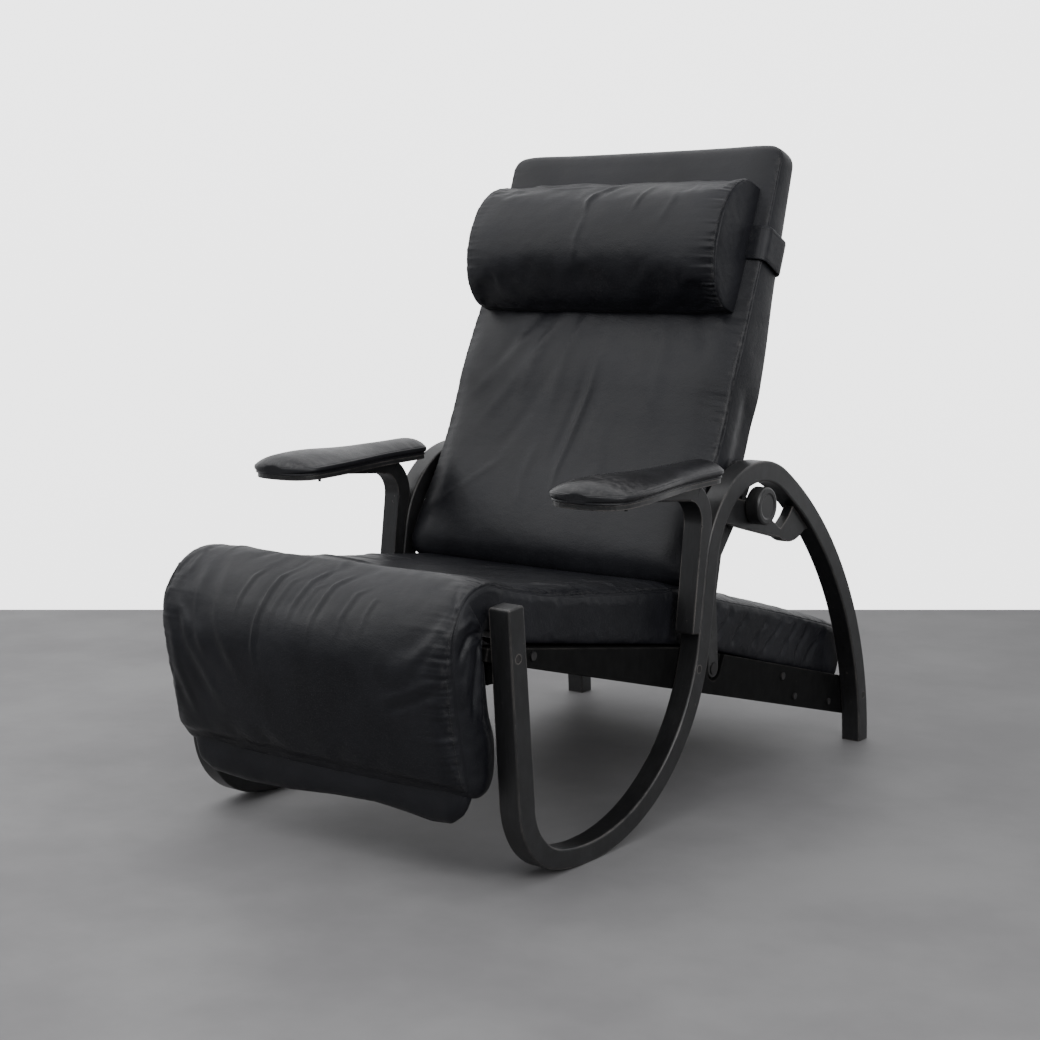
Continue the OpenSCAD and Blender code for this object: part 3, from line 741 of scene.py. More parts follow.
# Curved creases that fall over the roll: place across, both ends along, lean, width and height in mm
ROLL_CREASES = [
    (-0.075, 0.045, -0.115, 0.030, 2.8, 2.6), (-0.015, 0.05, -0.055, 0.035, 2.6, 2.0),
    (0.031, 0.045, -0.070, 0.035, 2.8, 2.1), (-0.121, 0.03, -0.05, 0.020, 3.0, 1.6),
    (0.083, 0.02, -0.065, 0.03, 3.0, 1.4), (0.125, 0.0, -0.05, 0.02, 3.0, 1.1),
    (0.004, 0.02, -0.045, 0.03, 2.4, 1.0), (-0.048, 0.03, -0.07, 0.03, 2.6, 1.0),
]
# Drapes that fan down the leg rest from the far shoulder: both ends, height and width in mm
LEG_DRAPES = [
    ((-0.262, 0.0), (-0.17, -0.19), 2.6, 13), ((-0.235, 0.03), (-0.19, -0.13), 2.2, 11),
    ((-0.27, -0.06), (-0.235, -0.22), 1.8, 10), ((-0.20, 0.04), (-0.12, -0.15), 1.8, 12),
]
# Paths in metres across and along the cover from the knee, then width and height in mm
SEAT_FOLDS = [
    ([(-0.10, 0.10), (0.02, 0.13), (0.16, 0.20)], 11, 3.0),
    ([(-0.05, 0.16), (0.10, 0.19), (0.23, 0.27)], 14, -3.6),
    ([(-0.22, 0.13), (-0.10, 0.16), (0.0, 0.235)], 9, 2.6),
    ([(-0.20, 0.16), (-0.05, 0.26), (0.05, 0.36)], 22, -3.0),
    ([(0.02, 0.20), (0.14, 0.245), (0.235, 0.33)], 8, 2.2),
    ([(0.10, 0.28), (0.2, 0.36), (0.24, 0.46)], 14, 2.5),
    ([(0.275, -0.105), (0.235, -0.125), (0.17, -0.15)], 6, -2.0),
    ([(0.275, -0.09), (0.225, -0.112), (0.16, -0.135)], 6, 1.6),
]
# The same on the side panels, where across is height; deepest below the roll
KNEE_PANEL_FOLDS = [
    ([(0.004, -0.010), (0.03, -0.055), (0.052, -0.125)], 4.5, 4.0),
    ([(0.004, -0.022), (0.022, -0.075), (0.040, -0.15)], 4.5, -4.4),
    ([(0.004, -0.035), (0.014, -0.09), (0.026, -0.17)], 4.5, 3.4),
    ([(0.010, 0.0), (0.040, -0.030), (0.060, -0.080)], 5.0, -3.6),
    ([(0.012, 0.015), (0.045, 0.0), (0.062, -0.03)], 6.0, 3.0),
    ([(0.006, -0.06), (0.010, -0.12), (0.014, -0.20)], 4.5, -2.6),
]
# Short pulls in from both side seams: place along and height in mm
EDGE_PULLS = [(0.30, 2.4), (0.345, -2.0), (0.41, 2.2), (0.50, -1.8), (0.60, 1.6), (0.68, -1.6), (0.77, 1.8)]


def seat_cover():
    rows = resample(seat_rows, 9.0) * MM
    ns, nw, nt = len(rows) - 1, 60, 8
    b = Block(ns, nw, nt)
    i, j, k = b.ijk.T
    u = spread(nw)[j]
    t = k / nt
    arc = arc_length(rows[:, :2])
    s = arc[i]
    knee = (HINGE + KNEE_R * np.array([-math.sqrt(0.5), math.sqrt(0.5)]) + [DY, 0]) * MM
    knee_s = arc[np.argmin(np.hypot(*(rows[:, :2] - knee).T))]
    top, low = rows[i, :2], rows[i, 2:].copy()
    # outside the leg board the side panels reach back behind the fold of the knee
    behind = bell((s - knee_s + 0.055) / 0.075)
    low[:, 0] += 14 * MM * smooth((np.abs(u) * SEAT_HALF - LEG_BOARD_HALF) / 8) * behind
    yz = low + (top - low) * t[:, None]
    half = SEAT_HALF * MM - 2.0 * MM
    # lower corners of the leg rest and rear corners of the tail are rounded
    corner = np.minimum(s / 0.030, (arc[-1] - s) / 0.022)
    inset = 0.014 * (1 - quarter(corner))
    side = (j == 0) | (j == nw)
    bulge = np.where(side, 4.2 * MM * np.sin(math.pi * t) ** 0.8, 0)
    # the leg rest stands before the front posts, so its face may be wider than the seat
    half = half + 5 * MM * (1 - smooth((s - knee_s + 0.03) / 0.07)) * smooth(t / 0.5)
    x = np.sign(u) * (np.abs(u) * (half - inset) + bulge)
    o = new_mesh("seat_cover", np.c_[x, yz], b.faces)
    outward(o)

    edge = np.clip(1 - np.abs(u), 0, 1)
    ks = s - knee_s
    leg = 1 - smooth((ks + 0.10) / 0.10)
    mid = smooth((ks - 0.12) / 0.12) * (1 - smooth((ks - 0.52) / 0.08))
    tail = smooth((ks - 0.58) / 0.08)
    hollow = bell((ks - 0.225) / 0.10)
    crown = (15 * leg - 5 * mid - 19 * hollow + 6 * tail) * MM
    dome = quarter((1 - np.abs(u)) * half / 0.036)
    swell = np.where(crown > 0, 0.7 * dome + 0.3 * smooth(edge * 1.15), smooth(edge * 1.3))
    lift = np.where(k == nt, crown * swell + 3 * MM * dome, 0)
    body = (s > 0.02) & (s < arc[-1] - 0.02)
    set_coords(o, moved_out(o, lift * np.where(body, 1, 0.35)))

    inflate(o, b, 0.25, 0.9, pressure=1.3, grow=0.009)
    x, s, t, flank, away = refine(o, 2, x=x, s=s, t=t, flank=side.astype(float),
                                  away=np.maximum(half - np.abs(x), 0))
    c = coords(o)
    ks = s - knee_s
    on_top = t > 0.999
    d = np.zeros(len(s))
    r = random.Random(5)
    for cx, top_s, low_s, lean, w, h in ROLL_CREASES:
        path = [(cx + lean, top_s), (cx + 0.3 * lean, top_s * 0.35), (cx, 0.5 * low_s), (cx + 0.003, low_s)]
        add_folds(d, x, ks, ((path, w, h), (shifted(path, 0.008), 5, -0.55 * h),
                             (shifted(path, -0.008), 5, -0.3 * h)))
    for a, q, h, w in LEG_DRAPES:
        path = [a, (0.6 * a[0] + 0.4 * q[0] - 0.008, 0.5 * (a[1] + q[1])), q]
        add_folds(d, x, ks, ((path, w, -0.75 * h), (shifted(path, 0.019), 0.8 * w, 0.7 * h)))
    # lumps and soft ridges across the top of the roll
    for _ in range(14):
        cx = r.uniform(-0.25, 0.18)
        cs = r.uniform(0.03, 0.15)
        ln = r.uniform(0.035, 0.08)
        turn = r.uniform(0.9, 1.6)
        path = [(cx - ln * math.cos(turn), cs - ln * math.sin(turn)), (cx, cs),
                (cx + 0.8 * ln * math.cos(turn + 0.5), cs + 0.8 * ln * math.sin(turn + 0.5))]
        add_folds(d, x, ks, [(path, r.uniform(4, 9), r.uniform(-1.6, 1.9))])
    add_folds(d, x, ks, SEAT_FOLDS)
    for cs, h in EDGE_PULLS:
        for m in (1, -1):
            add_folds(d, x, ks, [([(m * 0.272, cs), (m * 0.22, cs + 0.02), (m * 0.16, cs + 0.03)], 6, h)])
    strength = 0.55 + 0.6 * bell((ks + 0.02) / 0.11)
    strength = strength * np.where(x > 0, 1.0, 0.45)
    d += gather(s, away, 0.0068, 3.4 * MM, 0.032, 3.0) * strength
    d += gather(s, away, 0.015, 1.9 * MM, 0.060, 5.0) * strength
    d += 1.1 * MM * fbm(c, 14.0, 3, 4.0) * bell(ks / 0.13) + 0.6 * MM * fbm(c, 7.0, 2, 7.0)
    d -= 1.3 * MM * bell(away / 0.003)
    d = np.where(on_top, d * smooth(s / 0.02), 0)
    # diagonal folds of the side panels, deepest below the roll and along the tail
    up = t * PANEL_HEIGHT
    p = np.zeros(len(s))
    add_folds(p, up, ks, KNEE_PANEL_FOLDS)
    for q in (0.60, 0.645, 0.70, 0.762, 0.81, 0.87, 0.925, 0.965):
        skew = r.uniform(0.065, 0.09)
        path = [(0.060, q + skew), (0.035, q + 0.45 * skew), (0.008, q)]
        below = [(a, e + 0.017) for a, e in path]
        add_folds(p, up, ks, ((path, r.uniform(5, 8), r.uniform(2.4, 3.6)),
                              (below, 8, -r.uniform(3.4, 5.0))))
    for q in (0.22, 0.27, 0.33, 0.38, 0.45, 0.51):
        path = [(0.058, q), (0.035, q + 0.004), (0.01, q + r.uniform(-0.01, 0.012))]
        add_folds(p, up, ks, [(path, 5.5, r.uniform(-2.0, 1.6))])
    p += 0.8 * MM * fbm(c, 16.0, 2, 6.0)
    p = np.clip(p, -6.5 * MM, 3 * MM) * np.sin(math.pi * np.clip(t, 0, 1)) ** 0.5
    d = np.where(on_panel(flank, t), p, d)
    c = displaced(o, d, x, flank, t, 1.2)
    # nothing leaves the cushion's own width, which is larger on the leg rest
    limit = np.where(ks < 0.02, LEG_LIMIT, SEAT_HALF + 1) * MM
    c[:, 0] = np.clip(c[:, 0], -limit, limit)
    set_coords(o, c)
    wear = np.where(on_top, bell((away - 0.008) / 0.008) * 0.6, 0.0)
    wear = np.maximum(wear, 0.40 * bell((ks - 0.09) / 0.10) * on_top)
    wear = np.maximum(wear, 0.45 * smooth((d / MM - 1.0) / 2.2) * on_top)
    dress_soft(o, wear, "seat_leather")
    return o, stitches("seat_stitching", thread_rows(o, b.lines((2, nw - 2), nt, 2), 0.1))


def blend_seat(o):
    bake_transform(o)


cover, cover_stitches = seat_cover()
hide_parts("seat_cushion", "knee_roll", "leg_cushion")
for piece in (cover, cover_stitches):
    blend_seat(piece)


def toe_cover():
    """The soft edge that hangs below the leg rest, sags to its far end and droops at the near corner."""
    low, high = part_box("toe_roll")
    x0, x1 = low.x / MM + 12, high.x / MM + 22
    nw, nt, ns = 76, 8, 14
    b = Block(ns, nw, nt)
    i, j, k = b.ijk.T
    u = (spread(nw, 0.6)[j] + 1) / 2
    f = i / ns
    t = k / nt
    x = x0 + (x1 - x0) * u
    stops = [x0, x0 + 14, -225, -150, -60, 30, 110, 170, 215, x1 - 26, x1 - 8, x1]
    drop = np.interp(x, stops, [22, -2, -12, -16, -13, -5, -1, -5, -9, -6, 8, 26])
    z_top, y_mid = 172.0, -134.0 + DY
    z_low = low.z / MM + 3 + drop
    z = z_top + (z_low - z_top) * f
    round_low = np.sqrt(np.clip(1 - np.clip((f - 0.55) / 0.45, 0, 1) ** 2, 0.02, 1))
    thick = 32 * round_low * (0.45 + 0.55 * quarter(np.minimum(u, 1 - u) / 0.05))
    y = y_mid + 0.10 * (z - 120) + (0.5 - t) * thick
    soft = 2.0 * fbm(np.c_[x, y, z] * MM, 12.0, 2, 2.0)
    y = y - np.where(k == nt, soft, -0.4 * soft)
    o = new_mesh("toe_cover", np.c_[x, y, z] * MM, b.faces)
    outward(o)
    dress_soft(o, 0.08, "seat_leather", 2)
    attach("leg_rest", "seat_leather", o)
    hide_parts("toe_roll")


toe_cover()

# ---- back cushion

BACK_HALF = 288.0
BACK_HALF_TOP = 284.0
BRACKET_SIDE = 282.5
BACK = [(130.0, 0.0, 79.0), (900.0, 11.5, 76.0), (440.0, 0.0, 38.0)]
BACK_START = (440.0 + DY, 360.0, 60.5, 82.0)
BACK_LEN = [130.0, 900.0 * math.radians(11.5), 440.0]


def back_station(q):
    """Centre, heading and thickness of the backrest at a length q from its lower end, in mm."""
    y, z, h, t = BACK_START
    for (r, turn, t1), ln in zip(BACK, BACK_LEN):
        f = min(q / ln, 1.0)
        if turn:
            hr = math.radians(h)
            h2 = h + turn * f
            y += r * (math.sin(math.radians(h2)) - math.sin(hr))
            z += r * (math.cos(hr) - math.cos(math.radians(h2)))
            h = h2
        else:
            y += ln * f * math.cos(math.radians(h))
            z += ln * f * math.sin(math.radians(h))
        t = t + (t1 - t) * f
        if q <= ln:
            break
        q -= ln
    return y, z, h, t


def stations(qs):
    return np.array([back_station(q) for q in qs])


def out_from(st, off):
    """The y and z of places at an offset in front of the backrest's middle, for rows of stations."""
    h = np.radians(st[:, 2])
    return np.c_[st[:, 0] - np.sin(h) * off, st[:, 1] + np.cos(h) * off]


# The long crease right of the middle, and softer ones that radiate from below the pillow
BACK_FOLDS = [
    ([(0.026, 0.36), (0.022, 0.30), (0.008, 0.22), (-0.003, 0.14), (-0.002, 0.09)], 4.2, 3.4),
    ([(0.044, 0.36), (0.040, 0.30), (0.024, 0.22), (0.010, 0.15)], 13, -1.6),
    ([(0.008, 0.36), (0.004, 0.30), (-0.011, 0.22), (-0.022, 0.15)], 9, -2.2),
    ([(-0.04, 0.49), (-0.10, 0.38), (-0.13, 0.27)], 14, 2.4),
    ([(-0.01, 0.48), (-0.045, 0.37), (-0.055, 0.22)], 12, 1.9),
    ([(-0.07, 0.49), (-0.16, 0.40), (-0.21, 0.30)], 14, -2.2),
    ([(0.11, 0.49), (0.15, 0.38), (0.155, 0.26)], 14, 1.8),
    ([(0.15, 0.52), (0.21, 0.43), (0.24, 0.35)], 13, -2.2),
    ([(0.18, 0.53), (0.235, 0.46), (0.26, 0.40)], 11, 1.6),
    ([(-0.09, 0.40), (-0.15, 0.30), (-0.20, 0.22)], 13, 1.5),
    ([(-0.11, 0.42), (-0.19, 0.33), (-0.24, 0.27)], 12, 1.4),
    ([(-0.06, 0.36), (-0.10, 0.25), (-0.15, 0.15)], 13, -1.3),
    ([(0.09, 0.40), (0.14, 0.30), (0.18, 0.24)], 14, 1.2),
    ([(0.06, 0.24), (0.08, 0.16), (0.07, 0.08)], 13, 1.4),
    ([(-0.06, 0.20), (-0.07, 0.12), (-0.06, 0.06)], 10, 1.4),
    ([(-0.24, 0.06), (-0.19, 0.10), (-0.12, 0.16)], 8, 1.2),
]


def back_cover():
    total = sum(BACK_LEN)
    nw, nt = 64, 8
    qs = np.r_[np.linspace(0, 24, 5)[:-1], np.arange(24, total - 36, 9.0),
               total - 36 + 36 * np.sin(np.linspace(0, math.pi / 2, 8))]
    ns = len(qs) - 1
    b = Block(ns, nw, nt)
    i, j, k = b.ijk.T
    u = spread(nw)[j]
    t = k / nt
    q = qs[i]
    # the sides stay inside the brackets at the lower rear and fill out everywhere else
    room = np.maximum(smooth((q - 270) / 70), smooth((t - 0.35) / 0.35))
    hw = lerp(BRACKET_SIDE, lerp(BACK_HALF, BACK_HALF_TOP, smooth((q - 380) / 150)), room)
    hw = hw - 2 - round_off(total - q, 30) - round_off(q, 16)
    rear = stations(qs)[i]
    face = stations(qs - 24 * (1 - smooth(qs / 90)))[i]
    belly = smooth((0.72 - q / total) / 0.30)
    off_f = face[:, 3] / 2 + 13 * belly - round_off(q, 22, 46) - round_off(total - q, 13)
    off_r = -rear[:, 3] / 2 + round_off(q, 6) + round_off(total - q, 4)
    side = (j == 0) | (j == nw)
    bulge = np.where(side, 2.0 * np.sin(math.pi * t) ** 0.7, 0) * room
    x = np.sign(u) * (np.abs(u) * hw + bulge)
    yz = lerp(out_from(rear, off_r), out_from(face, off_f), t[:, None])
    o = new_mesh("back_cover", np.c_[x, yz] * MM, b.faces)
    outward(o)
    lift = np.where(k == nt, (8 + 9 * belly) * quarter((1 - np.abs(u)) * hw / 54) * MM, 0)
    fade = (0.55 + 0.45 * smooth(q / 30)) * (0.4 + 0.6 * smooth((total - q) / 20))
    set_coords(o, moved_out(o, lift * fade))
    inflate(o, b, 0.5, 0.8, pressure=1.2, grow=0.008, rounds=30)
    x, q, t, flank, away, fade = refine(o, 2, x=x * MM, q=q * MM, t=t, flank=side.astype(float),
                                        away=np.maximum(hw - np.abs(x), 0) * MM, fade=fade)
    c = coords(o)
    front = t > 0.999
    d = np.zeros(len(q))
    add_folds(d, x, q, BACK_FOLDS)
    r = random.Random(11)
    for _ in range(14):
        ang = r.uniform(-1.2, 1.2)
        l0, l1 = r.uniform(0.04, 0.08), r.uniform(0.12, 0.22)
        path = [(ln * math.sin(a), 0.54 - ln * math.cos(a)) for ln, a in ((l0, ang), (l1, ang * 1.1))]
        add_folds(d, x, q, [(path, r.uniform(6, 11), r.uniform(-1.3, 1.3))])
    d += gather(q, away, 0.0075, 1.2 * MM, 0.016, 8.0) + gather(q, away, 0.021, 1.0 * MM, 0.040, 12.0)
    d += 0.8 * MM * fbm(c, 7.0, 3, 2.0)
    d -= 1.1 * MM * bell(away / 0.003)
    d = np.where(front, d * fade, 0)
    panel = on_panel(flank, t)
    d = np.where(panel, (0.6 * fbm(c, 14.0, 2, 3.0) - 0.3) * MM, d)
    d = np.where((t < 0.01) & (flank < 0.5), -1.0 * MM, d)
    c = displaced(o, d, x, flank, t, 1.0)
    c[:, 0] = np.clip(c[:, 0], -(BACK_HALF + 1) * MM, (BACK_HALF + 1) * MM)
    set_coords(o, c)
    wear = np.where(front, bell(away / 0.008), 0.25 * panel) * np.where(x > 0, 1.0, 0.6)
    wear = np.maximum(wear, 0.4 * smooth((d / MM - 1.0) / 2.2) * front)
    dress_soft(o, wear, "back_leather")
    rows = thread_rows(o, b.lines((2, nw - 2), nt, 3), 0.1)
    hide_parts("back_cushion")
    attach("back", "back_leather", o, stitches("back_stitching", rows, 3.6 * MM, 2.4 * MM, 0.35 * MM))


back_cover()


def back_lining():
    """The leather sheet that closes the rear of the backrest, with a folded and stitched edge."""
    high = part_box("back_panel")[1]
    total = sum(BACK_LEN)
    nw, ns = 46, 70
    b = Block(ns, nw, 1)
    i, j, k = b.ijk.T
    q0, q1 = 26.0, total - 34
    st = stations(q0 + (q1 - q0) * np.arange(ns + 1) / ns)[i]
    u = spread(nw, 0.6)[j]
    hw = high.x / MM - 4
    f = i / ns
    edge = np.minimum(np.minimum(1 - np.abs(u), f * 1.2), (1 - f) * 1.2)
    rim = 1.6 * bell((edge - 0.035) / 0.022)
    sag = 1.2 * fbm(np.c_[u * 0.28, f * 0.7, 0 * f], 9.0, 3, 5.0) * smooth(edge / 0.08)
    off = -st[:, 3] / 2 + np.where(k == 1, 1.4, -0.4) - np.where(k == 0, rim + np.clip(sag, -1, 1), 0)
    o = new_mesh("back_lining", np.c_[u * hw, out_from(st, off)] * MM, b.faces)
    outward(o)
    rows = thread_rows(o, b.lines((4, nw - 4), 0, 3), 0.1)
    dress_soft(o, 0.2, "back_leather", 1)
    attach("back", "back_leather", o, stitches("lining_stitching", rows, pitch=4.5 * MM))
    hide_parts("back_panel")


back_lining()

# ---- head pillow

# The pillow stands on the straight upper part of the back, at this share of its length
PILLOW_AT = 0.32
PILLOW_ST = stations([BACK_LEN[0] + BACK_LEN[1] + PILLOW_AT * BACK_LEN[2]])
THICK_LOW, THICK_HIGH = BACK[1][2], BACK[2][2]
FACE_LEAN = math.radians(PILLOW_ST[0, 2] - 90) - math.atan2((THICK_LOW - THICK_HIGH) / 2, BACK_LEN[2])
FACE_ORIGIN = np.r_[0.0, out_from(PILLOW_ST, PILLOW_ST[:, 3] / 2)[0]] * MM


def from_face(p):
    """Points in the pillow's frame (mm, +Z up the back's face, -Y out from it) to the row frame."""
    p = np.asarray(p, float) * MM
    c, s = math.cos(FACE_LEAN), math.sin(FACE_LEAN)
    return FACE_ORIGIN + np.c_[p[:, 0], p[:, 1] * c - p[:, 2] * s, p[:, 1] * s + p[:, 2] * c]


# Gathers and creases of the pillow's skin: along is the arc from its lower edge
PILLOW_FOLDS = [
    ([(0.02, 0.255), (0.0, 0.22), (-0.012, 0.19), (-0.006, 0.165)], 4.2, 3.0),
    ([(-0.006, 0.165), (-0.016, 0.13), (-0.014, 0.10)], 6, 1.8),
    ([(0.035, 0.255), (0.013, 0.22), (0.002, 0.19)], 8, -2.0),
    ([(0.0, 0.25), (-0.016, 0.22), (-0.028, 0.19)], 8, -1.4),
    ([(0.10, 0.235), (0.092, 0.20), (0.088, 0.17)], 4.5, 1.6),
    ([(0.155, 0.22), (0.16, 0.19), (0.145, 0.15)], 7, 1.1),
    ([(-0.20, 0.272), (-0.12, 0.262), (-0.02, 0.268)], 5.5, 2.4),
    ([(-0.16, 0.255), (-0.10, 0.246), (-0.03, 0.25)], 6, -2.0),
    ([(-0.14, 0.24), (-0.08, 0.236), (-0.02, 0.246)], 5.5, 1.5),
    ([(-0.235, 0.245), (-0.19, 0.235), (-0.13, 0.228)], 7, 1.4),
]


def pillow_cover():
    w, hgt, dep, base, drop = 257.0, 231.0, 113.0, 36.0, 9.0
    ns, nw, nt = 44, 64, 8
    b = Block(ns, nw, nt)
    i, j, k = b.ijk.T
    u = spread(nw, 0.8)[j]
    t = k / nt
    a = -math.pi / 2 + math.pi * i / ns
    side = (j == 0) | (j == nw)
    # the skin swells towards its middle and is gathered into the end panels
    end = 1 - np.abs(u)
    swell = 0.93 + 0.07 * (1 - (1 - np.clip(end * 3.2, 0, 1)) ** 3)
    front_y = -base - (dep - base) * np.cos(a) * swell
    mid = hgt / 2
    zz = mid + mid * np.sin(a) * (0.95 + 0.05 * np.clip(end * 3.5, 0, 1) ** 0.6)
    rear_y = -5.0
    y = rear_y + (front_y - rear_y) * t
    z = zz - drop
    x = u * w + np.where(side, np.sign(u) * 2.5 * np.sin(math.pi * t) ** 0.6 * np.cos(a) ** 0.5, 0)
    o = new_mesh("pillow_cover", from_face(np.c_[x, y, z]), b.faces)
    outward(o)
    inflate(o, b, 0.7, 0.8, pressure=1.4, grow=0.014)
    arc = (a + math.pi / 2) * 0.093
    x, arc, t, flank = refine(o, 2, x=x * MM, arc=arc, t=t, flank=side.astype(float))
    c = coords(o)
    front = t > 0.999
    away = np.maximum(w * MM - np.abs(x), 0)
    d = gather(arc, away, 0.0066, 3.8 * MM, 0.024, 2.0) + gather(arc, away, 0.015, 2.0 * MM, 0.042, 6.0)
    d = d * np.where(x > 0, 1.0, 0.5)
    d -= 1.2 * MM * bell(away / 0.003)
    add_folds(d, x, arc, PILLOW_FOLDS)
    d += 0.8 * MM * fbm(c, 12.0, 3, 9.0)
    d = np.where(front, d, 0)
    d = np.where(on_panel(flank, t), 0.7 * MM * fbm(c, 16.0, 2, 3.0), d)
    set_coords(o, displaced(o, d, x, flank, t, 1.3))
    wear = np.where(front, bell(away / 0.016) * 0.6, 0.1)
    wear = np.maximum(wear, 0.35 * smooth((d / MM - 1.2) / 2.0) * front)
    dress_soft(o, wear, "back_leather")
    rows = thread_rows(o, b.lines((3, nw - 3), nt, 2), 0.15)
    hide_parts("head_pillow")
    attach("pillow", "back_leather", o, stitches("pillow_stitching", rows, 4.0 * MM, 2.6 * MM, 0.38 * MM))


pillow_cover()


def strap():
    """The leather strap that holds the pillow: a flat band with rounded corners, worn and slightly wavy."""
    in_w, y0 = 288.0, -9.0
    low, hgt, thick, slack = 92.0, 62.0, 2.5, 15.0
    depth = lerp(THICK_LOW, THICK_HIGH, PILLOW_AT + low / BACK_LEN[2]) + slack
    r = 16.0
    half_w, half_d = in_w + thick / 2, (depth + thick) / 2
    cy = y0 + depth / 2
    path = []
    for cx, cyy, a0 in ((1, 1, 0), (-1, 1, 90), (-1, -1, 180), (1, -1, 270)):
        for m in range(9):
            ang = math.radians(a0 + 90 * m / 8)
            path.append((cx * (half_w - r) + r * math.cos(ang), cy + cyy * (half_d - r) + r * math.sin(ang),
                         math.cos(ang), math.sin(ang)))
    dense = []
    for a, b in zip(np.array(path), np.roll(path, -1, axis=0)):
        steps = max(1, int(np.hypot(*(b - a)[:2]) / 9))
        dense += [lerp(a, b, m / steps) for m in range(steps)]
    n_p = len(dense)
    m_h = 10
    prof = [(m / m_h, 0.5) for m in range(m_h + 1)] + [(1 - m / m_h, -0.5) for m in range(m_h + 1)]
    verts, faces = [], []
    for idx, (px, py, nx, ny) in enumerate(dense):
        s_here = idx / n_p * 2 * math.pi
        rear = smooth((py - cy) / half_d * 0.5 + 0.5)
        tilt = -7.0 * rear + 1.2 * math.sin(3 * s_here)
        for f, side in prof:
            wave = 0.5 * math.sin(5 * s_here + 2 * f) * rear
            out = side * thick * (1 if 0.02 < f < 0.98 else 0.6) + max(wave, 0)
            verts.append((px + nx * out, py + ny * out, low + tilt + 1.5 + (hgt - 3) * f))
    n_q = len(prof)
    for idx in range(n_p):
        nxt = (idx + 1) % n_p
        for m in range(n_q):
            mm = (m + 1) % n_q
            faces.append((idx * n_q + m, nxt * n_q + m, nxt * n_q + mm, idx * n_q + mm))
    o = new_mesh("strap_band", from_face(verts), faces)
    outward(o)
    rows = thread_rows(o, [[idx * n_q + m for idx in range(n_p)] for m in (1, m_h - 1)], 0.15)
    dress_soft(o, 0.4, "back_leather", 1)
    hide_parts("pillow_strap")
    attach("pillow", "back_leather", o, stitches("strap_stitching", rows, 4.0 * MM, 2.6 * MM, 0.35 * MM))


strap()

# ---- arm pads

ARM_TILT = math.radians(1.8)
ARM_BASE_Z, ARM_BOARD_T, ARM_FRONT_Y = 512.5, 8.0, 74.0
ARM_L, ARM_FRONT, ARM_REAR, ARM_X = 354.0, 134.0, 84.0, 305.0
NOSE, REAR_ROUND, NECK = 50.0, 34.0, 270.0


def arm_half(d):
    f, r = ARM_FRONT / 2, ARM_REAR / 2
    if d < NOSE:
        return f * (1 - (1 - d / NOSE) ** 2.6) ** (1 / 2.6)
    if d < NECK:
        return r + (f - r) * (1 + math.cos(math.pi * (d - NOSE) / (NECK - NOSE))) / 2
    if d < ARM_L - REAR_ROUND:
        return r
    return r * max(0.0, 1 - ((d - ARM_L + REAR_ROUND) / REAR_ROUND) ** 2.4) ** (1 / 2.4)


def arm_cover(name, node, sign):
    ns, nw, nt = 70, 30, 12
    b = Block(ns, nw, nt)
    i, j, k = b.ijk.T
    ds = 0.6 + (spread(ns, 0.85) + 1) / 2 * (ARM_L - 1.2)
    d = ds[i]
    half = np.array([arm_half(v) for v in ds])[i] - 1.0
    u = spread(nw, 0.8)[j]
    t = k / nt
    side = (j == 0) | (j == nw)
    wall = 14.0 - 1.0 * bell(d / 60)
    ends = np.minimum(quarter(d / 30), quarter((ARM_L - d) / 26))
    crown = (13.0 + 6.0 * bell((d - 70) / 80)) * ends
    z = t * (wall + crown * (1 - np.abs(u) ** 2.2))
    # the top leather rolls over a welt that runs around the pad
    roll = 3.2 * np.sin(math.pi * np.clip((t - 0.27) / 0.73, 0, 1)) ** 0.5
    roll -= 2.6 * bell((t - 0.25) / 0.055)
    x = u * half + np.where(side, np.sign(u) * roll, 0)
    yy = ARM_FRONT_Y + d
    c3, s3 = math.cos(ARM_TILT), math.sin(ARM_TILT)
    zz = ARM_BOARD_T + 0.3 + z
    verts = np.c_[(ARM_X + x) * sign, yy * c3 - zz * s3, ARM_BASE_Z + yy * s3 + zz * c3] * MM
    verts[:, 1] += DY * MM
    o = new_mesh(name, verts, b.faces)
    outward(o)
    top = k == nt
    away = (half - np.abs(u) * half) * MM
    disp = gather(d * MM, away + 0.2 * MM, 0.010, 0.9 * MM, 0.018, 4.0 + sign)
    disp += 0.35 * MM * fbm(coords(o), 18.0, 2, 3.0 + sign)
    disp = np.where(top, disp * smooth(away / 0.004), 0)
    disp = np.where(side & top, -0.5 * MM, disp)
    set_coords(o, moved_out(o, disp))
    wear = np.where(top, 0.25 + 0.75 * bell(d / 90), 0.15)
    wear = np.maximum(wear, np.where(top, 0.8 * bell(away / 0.006), 0.1))
    dress_soft(o, wear, "arm_leather", 1)
    attach("frame", "arm_leather", o)
    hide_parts(node)


arm_cover("arm_cover_left", "arm_pad_left", 1)
arm_cover("arm_cover_right", "arm_pad_right", -1)

# ---- studio


def plane(name, verts, mat):
    o = new_mesh(name, verts, [(0, 1, 2, 3)])
    o.data.materials.append(mat)
    return o


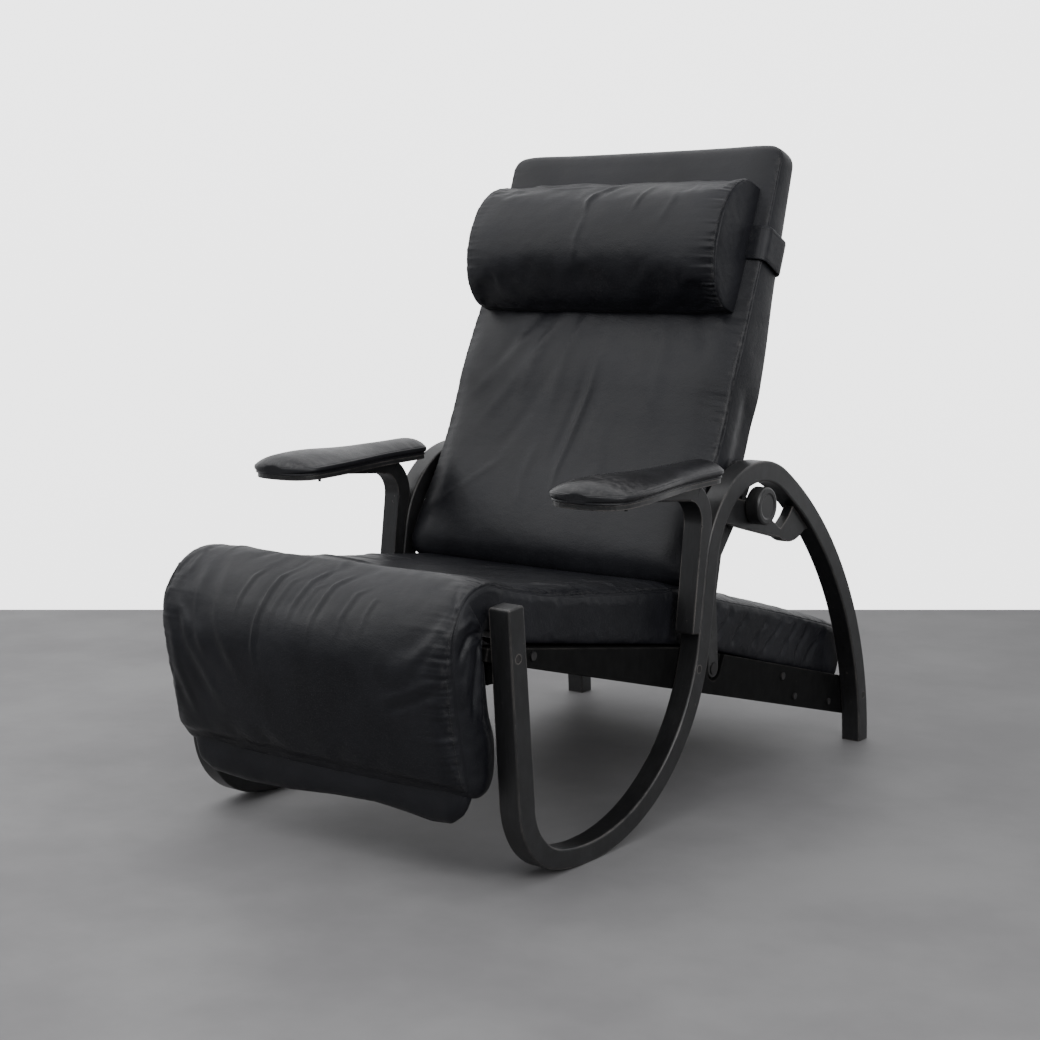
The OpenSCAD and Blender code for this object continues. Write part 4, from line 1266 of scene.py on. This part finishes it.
AZ, PITCH = math.radians(37.75), math.radians(7.83)
EYE = Vector((1.758, -1.9316 + DY * MM, 0.8408))
look = Vector((-math.sin(AZ) * math.cos(PITCH), math.cos(AZ) * math.cos(PITCH), -math.sin(PITCH)))
flat = Vector((look.x, look.y, 0)).normalized()
across = Vector((flat.y, -flat.x, 0))
WALL_AWAY = 4.43
wall_mid = Vector((EYE.x, EYE.y, 0)) + flat * WALL_AWAY

plane("floor", [(-14, -14, 0), (14, -14, 0), (14, 14, 0), (-14, 14, 0)],
      plain("floor", grey(0.165, 0.003, -0.001, 0.002), grey(0.225, 0.003, 0, 0.001), 2.2, 0.62))
wall_low, wall_high = wall_mid - across * 9, wall_mid + across * 9
wall_up = Vector((0, 0, 6))
plane("wall", [tuple(v) for v in (wall_low, wall_high, wall_high + wall_up, wall_low + wall_up)],
      plain("wall", grey(0.84), grey(0.86), 1.5, 0.8, 0.45))

cam_data = bpy.data.cameras.new("camera")
cam = bpy.data.objects.new("camera", cam_data)
bpy.context.scene.collection.objects.link(cam)
cam.location = EYE
cam.rotation_euler = look.to_track_quat("-Z", "Y").to_euler()
cam_data.sensor_width = 36.0
cam_data.lens = 60.89
bpy.context.scene.camera = cam


def area(name, place, target, size, power):
    d = bpy.data.lights.new(name, "AREA")
    d.shape = "RECTANGLE"
    d.size, d.size_y = size
    d.energy = power
    o = bpy.data.objects.new(name, d)
    bpy.context.scene.collection.objects.link(o)
    place = Vector(place) + Vector((0, DY * MM, 0))
    target = Vector(target) + Vector((0, DY * MM, 0))
    o.location = place
    o.rotation_euler = (target - place).to_track_quat("-Z", "Y").to_euler()


area("key", (-1.6, -1.5, 2.9), (0.0, 0.3, 0.4), (4.0, 3.4), 76)
area("front", (0.75, -1.6, 2.2), (0.2, 0.4, 0.6), (0.9, 1.2), 9)
area("fill", (2.6, -1.2, 2.2), (0.1, 0.3, 0.4), (2.6, 2.2), 30)
area("side", (3.3, 0.0, 1.7), (0.1, 0.4, 0.6), (2.0, 2.0), 40)
area("top", (0.2, 0.7, 3.0), (0.0, 0.4, 0.3), (2.6, 2.4), 18)
world = bpy.data.worlds.new("studio")
world.use_nodes = True
bg = world.node_tree.nodes["Background"]
bg.inputs[0].default_value = (0.93, 0.95, 1.0, 1)
bg.inputs[1].default_value = 0.55
bpy.context.scene.world = world
